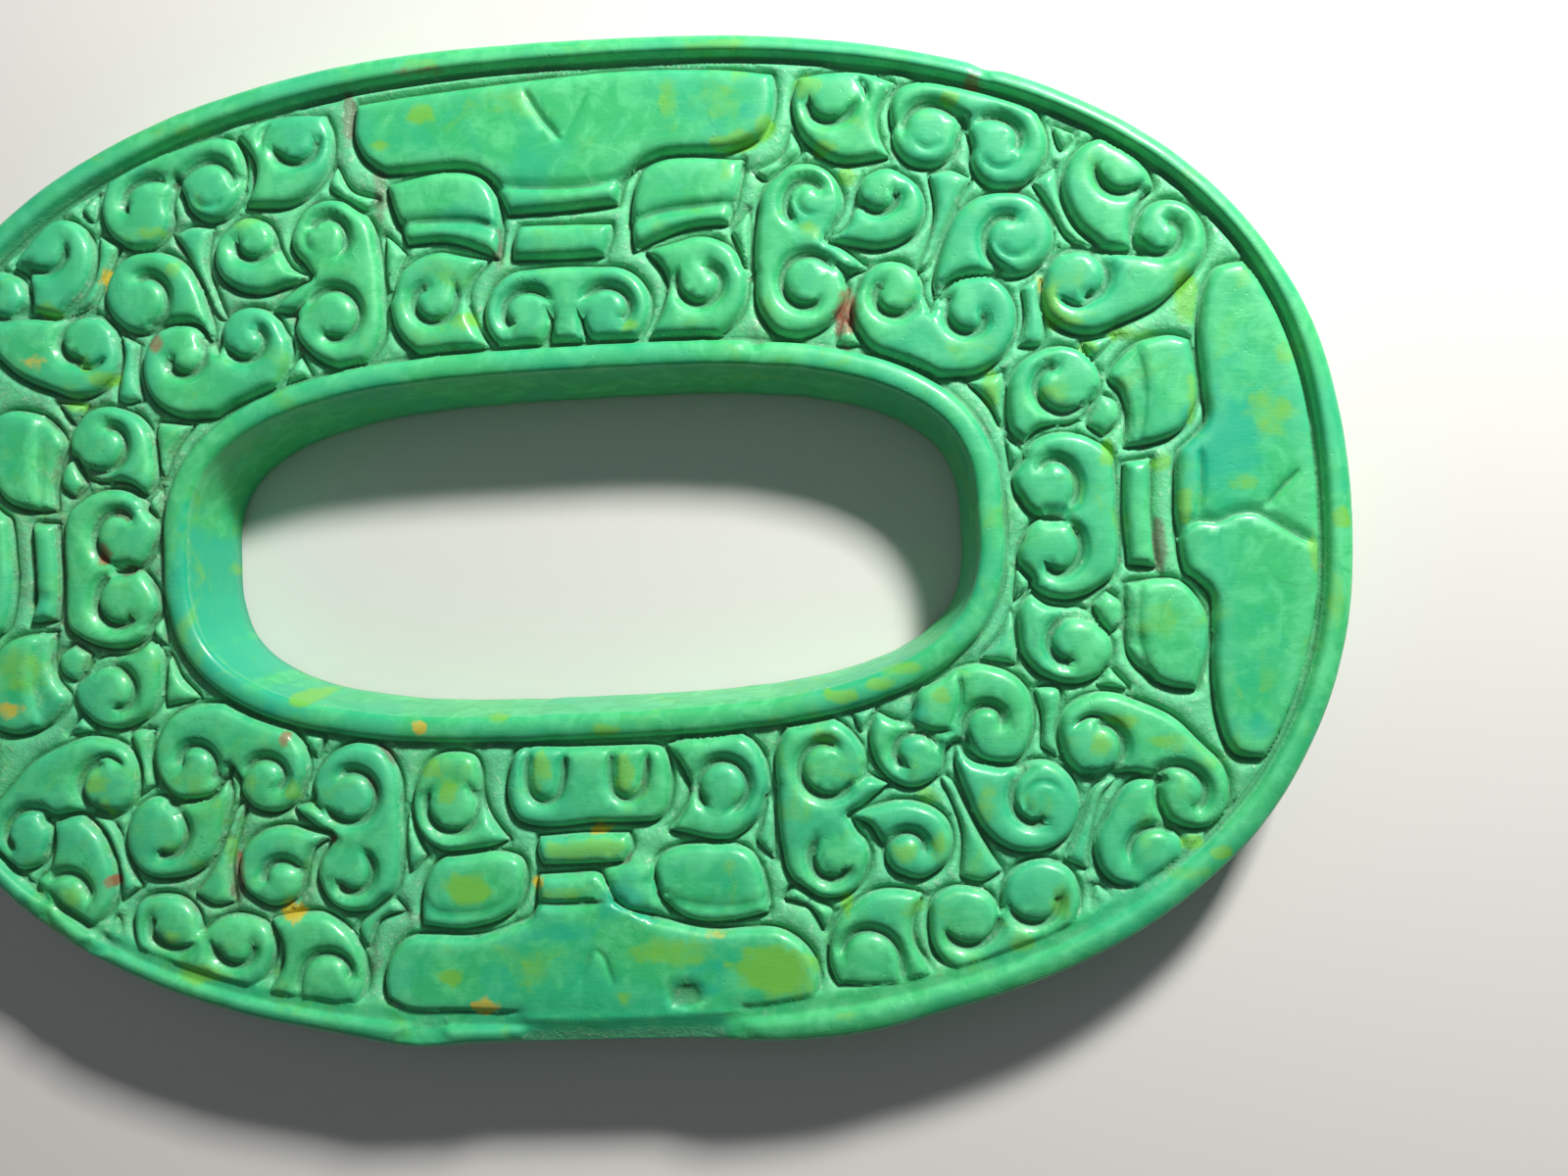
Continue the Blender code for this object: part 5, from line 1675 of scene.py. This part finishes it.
def patch_mask(plan: Array, patches: list[Patch]) -> Array:
    """How strongly each place takes the patches' colour, 0 to 1, with ragged edges."""
    reach, edge, fade = 2, 1.45, 0.9
    break_up, lump_size, seed = 0.45, 0.9 * MM, 21.0
    mask = np.zeros(len(plan))
    ragged = 1 + break_up * unevenness(plan, lump_size, seed, 2)
    for patch in patches:
        across = (plan[:, 0] / MM - patch.x) / patch.half_x
        along = (plan[:, 1] / MM - patch.y) / patch.half_y
        near = np.flatnonzero((np.abs(across) < reach) & (np.abs(along) < reach))
        far = np.hypot(across[near], along[near]) * ragged[near]
        mask[near] = np.maximum(mask[near], patch.strength * smooth((edge - far) / fade))
    return mask


Colour = tuple[float, float, float, float]
Socket = bpy.types.NodeSocket
FLOAT, VECTOR = "NodeSocketFloat", "NodeSocketVector"


class NodeSheet:
    """A material's or a group's node tree, with short ways to add and join nodes."""

    def __init__(self, tree: bpy.types.NodeTree) -> None:
        """Takes the tree to add to."""
        self.tree = tree

    def add(self, kind: str, **sockets: object) -> bpy.types.Node:
        """Adds a shader node and fills its inputs.

        Args:
            kind: the node's type, without ShaderNode.
            sockets: inputs by name, with _ for a space, each a value or another node's output.

        Returns:
            The node.
        """
        node = self.tree.nodes.new("ShaderNode" + kind)
        for name, value in sockets.items():
            self.fill(node.inputs[name.replace("_", " ")], value)
        return node

    def fill(self, socket: Socket, value: object) -> None:
        """Joins an output to the socket, or sets the socket's own value."""
        if isinstance(value, Socket):
            self.tree.links.new(value, socket)
        else:
            socket.default_value = value

    def math(self, operation: str, first: object, second: object) -> Socket:
        """The result of a Math node on two values."""
        node = self.add("Math")
        node.operation = operation
        self.fill(node.inputs[0], first)
        self.fill(node.inputs[1], second)
        return node.outputs[0]

    def plus(self, first: object, second: object) -> Socket:
        """The sum of two values."""
        return self.math("ADD", first, second)

    def minus(self, first: object, second: object) -> Socket:
        """The first value less the second."""
        return self.math("SUBTRACT", first, second)

    def times(self, first: object, second: object) -> Socket:
        """The product of two values."""
        return self.math("MULTIPLY", first, second)

    def vector(self, operation: str, first: object, second: object) -> Socket:
        """The result of a Vector Math node, on a vector and a number where it scales."""
        node = self.add("VectorMath")
        node.operation = operation
        self.fill(node.inputs[0], first)
        self.fill(node.inputs["Scale" if operation == "SCALE" else 1], second)
        return node.outputs[0]

    def ramp(self, value: object, low: object, high: object) -> Socket:
        """An eased step from 0 to 1 as the value goes from low to high."""
        node = self.add("MapRange", Value=value, From_Min=low, From_Max=high)
        node.interpolation_type = "SMOOTHSTEP"
        return node.outputs["Result"]

    def mix(self, share: object, first: object, second: object) -> Socket:
        """The two colours mixed, all the second where the share is 1."""
        node = self.add("Mix")
        node.data_type = "RGBA"
        for number, value in ((0, share), (6, first), (7, second)):
            self.fill(node.inputs[number], value)
        return node.outputs[2]

    def noise(self, place: Socket, scale: object, detail: float) -> bpy.types.Node:
        """A noise texture."""
        return self.add("TexNoise", Vector=place, Scale=scale, Detail=detail)

    def group(self, group: bpy.types.NodeTree, **sockets: object) -> Socket:
        """Places a node group and gives its only output."""
        node = self.add("Group")
        node.node_tree = group
        for name, value in sockets.items():
            self.fill(node.inputs[name], value)
        return node.outputs[0]

    def mark(self, name: str) -> Socket:
        """The value of one of the mesh's marks."""
        node = self.add("Attribute")
        node.attribute_name = name
        return node.outputs["Fac"]


class GroupSheet(NodeSheet):
    """A new shader node group with one output."""

    def __init__(self, name: str, inputs: dict[str, str], output: str) -> None:
        """Starts the group.

        Args:
            name: the group's name.
            inputs: the inputs' names, with their socket types.
            output: the output's name. It is a number.
        """
        super().__init__(bpy.data.node_groups.new(name, "ShaderNodeTree"))
        for label, kind in inputs.items():
            self.tree.interface.new_socket(label, in_out="INPUT", socket_type=kind)
        self.tree.interface.new_socket(output, in_out="OUTPUT", socket_type=FLOAT)
        self.given = self.tree.nodes.new("NodeGroupInput").outputs
        self.result = self.tree.nodes.new("NodeGroupOutput").inputs[0]

    def per_size(self) -> Socket:
        """The scale that makes a texture's lumps as wide as the Size input."""
        return self.math("DIVIDE", 1.0, self.given["Size"])

    def ends(self, value: Socket) -> bpy.types.NodeTree:
        """Joins the value to the output and gives the group."""
        self.fill(self.result, value)
        return self.tree


class EffectGroups:
    """The effects that the finishes share, each a node group that is built once."""

    def __init__(self) -> None:
        """Builds the groups."""
        self.cloud = self.cloud_group()
        self.ragged = self.ragged_group()
        self.veins = self.vein_group()
        self.grain = self.grain_group()

    def cloud_group(self) -> bpy.types.NodeTree:
        """Soft cloudy mottling of a given size, as a mask."""
        numbers = dict.fromkeys(("Size", "Seed", "Swirl", "Low", "High"), FLOAT)
        sheet = GroupSheet("stone_cloud", {"Place": VECTOR, **numbers}, "Mask")
        given = sheet.given
        texture = sheet.noise(given["Place"], sheet.per_size(), 5.0)
        texture.noise_dimensions = "4D"
        sheet.fill(texture.inputs["W"], given["Seed"])
        sheet.fill(texture.inputs["Roughness"], 0.6)
        sheet.fill(texture.inputs["Distortion"], given["Swirl"])
        return sheet.ends(sheet.ramp(texture.outputs["Fac"], given["Low"], given["High"]))

    def ragged_group(self) -> bpy.types.NodeTree:
        """A mask whose edge is broken up by fine noise."""
        numbers = dict.fromkeys(("Mask", "Size", "Break", "Low", "High"), FLOAT)
        sheet = GroupSheet("ragged_mask", {"Place": VECTOR, **numbers}, "Mask")
        given = sheet.given
        texture = sheet.noise(given["Place"], sheet.per_size(), 4.0)
        shift = sheet.times(sheet.minus(texture.outputs["Fac"], 0.5), given["Break"])
        broken = sheet.plus(given["Mask"], sheet.times(shift, 2.0))
        return sheet.ends(sheet.ramp(broken, given["Low"], given["High"]))

    def vein_group(self) -> bpy.types.NodeTree:
        """Thin wandering lines, as a mask."""
        numbers = dict.fromkeys(("Size", "Width", "Cover"), FLOAT)
        sheet = GroupSheet("stone_veins", {"Place": VECTOR, **numbers}, "Mask")
        given = sheet.given
        bend = sheet.noise(given["Place"], 0.25, 5.0)
        bent = sheet.vector("SCALE", bend.outputs["Color"], 4.0)
        moved = sheet.vector("ADD", given["Place"], bent)
        cells = sheet.add("TexVoronoi", Vector=moved)
        cells.feature = "DISTANCE_TO_EDGE"
        sheet.fill(cells.inputs["Scale"], sheet.per_size())
        line = sheet.ramp(cells.outputs["Distance"], given["Width"], 0.0)
        here = sheet.ramp(bend.outputs["Fac"], sheet.minus(1.0, given["Cover"]), 0.75)
        return sheet.ends(sheet.times(line, here))

    def grain_group(self) -> bpy.types.NodeTree:
        """Fine pits and rubbed scratches, as a height."""
        inputs = {"Place": VECTOR, "Pits": FLOAT, "Scratches": FLOAT}
        sheet = GroupSheet("stone_grain", inputs, "Height")
        given = sheet.given
        pits = sheet.add("TexVoronoi", Vector=given["Place"], Scale=2.6, Randomness=1.0)
        spread = sheet.noise(given["Place"], 0.5, 3.0)
        pit = sheet.times(
            sheet.ramp(pits.outputs["Distance"], 0.28, 0.05),
            sheet.ramp(spread.outputs["Fac"], 0.5, 0.68),
        )
        stretched = sheet.vector("MULTIPLY", given["Place"], (0.7, 3.4, 1.0))
        rubbed = sheet.noise(stretched, 1.6, 6.0)
        fine = sheet.times(rubbed.outputs["Fac"], given["Scratches"])
        return sheet.ends(sheet.minus(fine, sheet.times(pit, given["Pits"])))


@dataclass(frozen=True)
class StoneFinish:
    """The polished blue-green stone with its mottling, pale film in the hollows and dirt, with painted
    shade in its crevices and in the west half's hollows, painted glints on the film and painted highlights
    on its ridges.
    """

    effects: EffectGroups
    green: Colour = (0.035, 0.445, 0.145, 1.0)
    light_green: Colour = (0.105, 0.620, 0.245, 1.0)
    blue_green: Colour = (0.012, 0.400, 0.225, 1.0)
    yellow_green: Colour = (0.145, 0.470, 0.052, 1.0)
    ochre: Colour = (0.560, 0.430, 0.025, 1.0)
    rust: Colour = (0.280, 0.055, 0.025, 1.0)
    film: Colour = (0.135, 0.540, 0.275, 1.0)
    brown_dirt: Colour = (0.150, 0.130, 0.095, 1.0)
    crevice_shade_and_dirt: Colour = (0.010, 0.100, 0.035, 1.0)
    vein: Colour = (0.010, 0.160, 0.080, 1.0)
    worn_pale_and_highlight: Colour = (0.180, 0.680, 0.370, 1.0)
    painted_glint: Colour = (0.420, 0.640, 0.460, 1.0)
    light_share: float = 0.7
    blue_share: float = 0.55
    warm_share: float = 0.55
    vein_share: float = 0.4
    film_share: float = 0.62
    soil_share: float = 0.48
    dirt_and_shade_share: float = 0.8
    painted_glint_share: float = 0.5
    crevice_shade_and_dirt_share: float = 0.5
    worn_and_highlight_share: float = 0.16
    gloss: float = 0.40
    film_dulling: float = 0.14
    smear_dulling: float = 0.12
    speck_shine: float = 0.3
    coat: float = 0.2
    coat_roughness: float = 0.14
    specular: float = 0.40
    bump_strength: float = 0.35
    bump_height: float = 0.05 * MM
    grit: float = 1.6

    def material(self) -> bpy.types.Material:
        """Makes the stone's material."""
        material = bpy.data.materials.new("carved_turquoise")
        material.use_nodes = True
        sheet = NodeSheet(material.node_tree)
        shader = material.node_tree.nodes["Principled BSDF"].inputs
        cloud, ragged = self.effects.cloud, self.effects.ragged
        place = sheet.vector("SCALE", sheet.add("TexCoord").outputs["Object"], 1 / MM)
        film = sheet.group(
            ragged, Mask=sheet.mark("sunk"), Place=place, Size=0.8, Break=0.45, Low=0.25, High=0.95
        )
        fine = sheet.group(cloud, Place=place, Size=0.32, Seed=13.0, Swirl=0.3, Low=0.3, High=0.75)
        # Whitish specks on the pale film: painted glints, also made glossier than the stone round them
        glint_specks = sheet.times(sheet.ramp(fine, 0.62, 0.9), film)
        colour = self.body_colour(sheet, place)
        colour = self.hollows(sheet, place, film, fine, colour)
        colour = sheet.mix(sheet.times(glint_specks, self.painted_glint_share), colour, self.painted_glint)
        ridge = sheet.mark("cavity")
        # Crevices darker: painted shade, with some dirt
        deep = sheet.ramp(sheet.times(ridge, -1.0), 0.2, 1.0)
        colour = sheet.mix(sheet.times(deep, self.crevice_shade_and_dirt_share), colour, self.crevice_shade_and_dirt)
        colour = self.spots(sheet, place, colour)
        # Ridges paler: partly rubbed wear, partly painted highlight
        worn = sheet.times(sheet.ramp(ridge, 0.25, 1.0), self.worn_and_highlight_share)
        sheet.fill(shader["Base Color"], sheet.mix(worn, colour, self.worn_pale_and_highlight))
        smear = sheet.group(cloud, Place=place, Size=2.0, Seed=9.0, Swirl=0.4, Low=0.35, High=0.7)
        rough = sheet.plus(self.gloss, sheet.times(smear, self.smear_dulling))
        rough = sheet.plus(rough, sheet.times(film, self.film_dulling))
        rough = sheet.minus(rough, sheet.times(glint_specks, self.speck_shine))
        sheet.fill(shader["Roughness"], rough)
        grain = sheet.group(self.effects.grain, Place=place, Pits=1.0, Scratches=0.6)
        height = sheet.plus(grain, sheet.times(sheet.times(fine, film), self.grit))
        bump = sheet.add("Bump", Strength=self.bump_strength, Distance=self.bump_height, Height=height)
        sheet.fill(shader["Normal"], bump.outputs["Normal"])
        sheet.fill(shader["Coat Weight"], sheet.times(sheet.minus(1.0, film), self.coat))
        shader["Coat Roughness"].default_value = self.coat_roughness
        shader["Specular IOR Level"].default_value = self.specular
        shader["Metallic"].default_value = 0.0
        return material

    def body_colour(self, sheet: NodeSheet, place: Socket) -> Socket:
        """The stone's own mottled colour."""
        cloud, ragged = self.effects.cloud, self.effects.ragged
        broad = sheet.group(cloud, Place=place, Size=7.0, Seed=1.0, Swirl=0.5, Low=0.42, High=0.62)
        fine = sheet.group(cloud, Place=place, Size=1.5, Seed=2.0, Swirl=1.0, Low=0.40, High=0.66)
        colour = sheet.mix(sheet.times(fine, self.light_share), self.green, self.light_green)
        bluish = sheet.group(
            ragged, Mask=sheet.mark(Tint.BLUE.value), Place=place, Size=1.2, Break=0.6, Low=0.1,
            High=1.0,
        )
        bluish = sheet.math("MAXIMUM", bluish, sheet.times(broad, self.blue_share))
        colour = sheet.mix(bluish, colour, self.blue_green)
        warm = sheet.group(cloud, Place=place, Size=3.2, Seed=5.0, Swirl=0.8, Low=0.56, High=0.72)
        colour = sheet.mix(sheet.times(warm, self.warm_share), colour, self.yellow_green)
        lines = sheet.group(self.effects.veins, Place=place, Size=7.0, Width=0.025, Cover=0.45)
        return sheet.mix(sheet.times(lines, self.vein_share), colour, self.vein)

    def hollows(
        self, sheet: NodeSheet, place: Socket, film: Socket, fine: Socket, colour: Socket
    ) -> Socket:
        """The colour with the film, the soil and the dirt that lie in the hollows, where the broad west
        patches of dirt also paint shade.

        Args:
            sheet: the material's nodes.
            place: the place on the ring in millimetres.
            film: where the pale film lies.
            fine: the soil's fine mottling.
            colour: the colour under them.

        Returns:
            The colour with them.
        """
        colour = sheet.mix(sheet.times(film, self.film_share), colour, self.film)
        soil = sheet.group(
            self.effects.cloud, Place=place, Size=2.4, Seed=21.0, Swirl=1.0, Low=0.48, High=0.72
        )
        soil = sheet.times(sheet.times(soil, film), fine)
        colour = sheet.mix(sheet.times(soil, self.soil_share), colour, self.brown_dirt)
        # Brown in the hollows under the dirt patches: dirt, and under the broad west patches also painted
        # shade
        dirt_and_shade_mask = sheet.times(sheet.mark(Tint.DIRT_AND_SHADE.value), sheet.mark("sunk"))
        dirt = sheet.group(
            self.effects.ragged, Mask=dirt_and_shade_mask, Place=place, Size=0.5, Break=0.3, Low=0.2, High=0.7
        )
        return sheet.mix(sheet.times(dirt, self.dirt_and_shade_share), colour, self.brown_dirt)

    def spots(self, sheet: NodeSheet, place: Socket, colour: Socket) -> Socket:
        """The colour with its yellow, ochre and rusty spots over it."""
        for tint, paint, size, high, share in (
            (Tint.YELLOW, self.yellow_green, 0.9, 0.75, 0.9),
            (Tint.OCHRE, self.ochre, 0.4, 0.7, 0.9),
            (Tint.RUST, self.rust, 0.4, 0.8, 0.8),
        ):
            mask = sheet.group(
                self.effects.ragged, Mask=sheet.mark(tint.value), Place=place, Size=size,
                Break=0.4, Low=0.15, High=high,
            )
            colour = sheet.mix(sheet.times(mask, share), colour, paint)
        return colour


@dataclass(frozen=True)
class FloorFinish:
    """The plain pale floor's matt finish."""

    effects: EffectGroups
    pale: Colour = (0.66, 0.65, 0.63, 1.0)
    paler: Colour = (0.70, 0.69, 0.67, 1.0)
    roughness: float = 0.8

    def material(self) -> bpy.types.Material:
        """Makes the floor's material."""
        material = bpy.data.materials.new("pale_floor")
        material.use_nodes = True
        sheet = NodeSheet(material.node_tree)
        shader = material.node_tree.nodes["Principled BSDF"].inputs
        place = sheet.add("TexCoord").outputs["Object"]
        cloud = sheet.group(
            self.effects.cloud, Place=place, Size=0.3, Seed=3.0, Swirl=0.2, Low=0.3, High=0.7
        )
        sheet.fill(shader["Base Color"], sheet.mix(cloud, self.pale, self.paler))
        shader["Roughness"].default_value = self.roughness
        return material


@dataclass(frozen=True)
class Lamp:
    """A soft rectangular lamp that looks at the ring."""

    name: str
    place: tuple[float, float, float]
    size: float
    power: float
    warmth: tuple[float, float, float] = (1.0, 1.0, 1.0)


@dataclass
class Studio:
    """The floor, the lamps and the camera at the photograph's angle."""

    effects: EffectGroups
    floor_half: float = 1.2
    camera_place: tuple[float, float, float] = (18.1 * MM, -5.9 * MM, 89.8 * MM)
    view: tuple[float, float, float] = (-0.0778, 0.0283, -0.9966)
    upwards: tuple[float, float, float] = (0.0489, 0.9982, 0.0240)
    lens: float = 33.75
    sensor: float = 36.0
    sky: Colour = (0.90, 0.95, 1.0, 1.0)
    sky_strength: float = 0.10
    nearest_seen: float = 1 * MM
    lamps: tuple[Lamp, ...] = (
        Lamp("key", (0.099, 0.145, 0.126), 0.030, 0.79, (1.0, 0.98, 0.94)),
        Lamp("fill", (-0.05, 0.10, 0.50), 0.40, 0.13, (0.95, 0.98, 1.0)),
    )

    def build(self) -> None:
        """Makes the floor, the lamps, the sky and the camera."""
        self.floor()
        for lamp in self.lamps:
            self.hang(lamp)
        world = bpy.data.worlds.new("studio")
        world.use_nodes = True
        sky = world.node_tree.nodes["Background"]
        sky.inputs["Color"].default_value = self.sky
        sky.inputs["Strength"].default_value = self.sky_strength
        bpy.context.scene.world = world
        bpy.context.scene.view_settings.view_transform = "Standard"
        self.camera()

    def floor(self) -> None:
        """A plain flat floor under the ring."""
        mesh = bpy.data.meshes.new("floor")
        half = self.floor_half
        corners = [(-half, -half, 0), (half, -half, 0), (half, half, 0), (-half, half, 0)]
        mesh.from_pydata(corners, [], [(0, 1, 2, 3)])
        mesh.materials.append(FloorFinish(self.effects).material())
        floor = bpy.data.objects.new("floor", mesh)
        bpy.context.scene.collection.objects.link(floor)

    def hang(self, lamp: Lamp) -> None:
        """Puts up one lamp, turned to the ring."""
        light = bpy.data.lights.new(lamp.name, "AREA")
        light.size = lamp.size
        light.energy = lamp.power
        light.color = lamp.warmth
        holder = bpy.data.objects.new(lamp.name, light)
        holder.location = lamp.place
        holder.rotation_euler = (-Vector(lamp.place)).to_track_quat("-Z", "Y").to_euler()
        bpy.context.scene.collection.objects.link(holder)

    def camera(self) -> None:
        """Puts the camera where the photograph was taken from."""
        data = bpy.data.cameras.new("camera")
        data.lens = self.lens
        data.sensor_width = self.sensor
        data.sensor_fit = "HORIZONTAL"
        data.clip_start = self.nearest_seen
        camera = bpy.data.objects.new("camera", data)
        forward = Vector(self.view).normalized()
        right = forward.cross(Vector(self.upwards)).normalized()
        turn = Matrix((right, right.cross(forward), -forward)).transposed()
        camera.matrix_world = Matrix.Translation(self.camera_place) @ turn.to_4x4()
        bpy.context.scene.collection.objects.link(camera)
        bpy.context.scene.camera = camera


def main() -> None:
    """Builds the ring, dresses it and sets up the studio."""
    effects = EffectGroups()
    ring = CarvedRing(RingForm.from_frame())
    piece = ring.build()
    ring.dress(piece, StoneFinish(effects))
    log.info("%s: %d faces", piece.name, len(piece.data.polygons))
    Studio(effects).build()


if __name__ == "__main__":
    main()
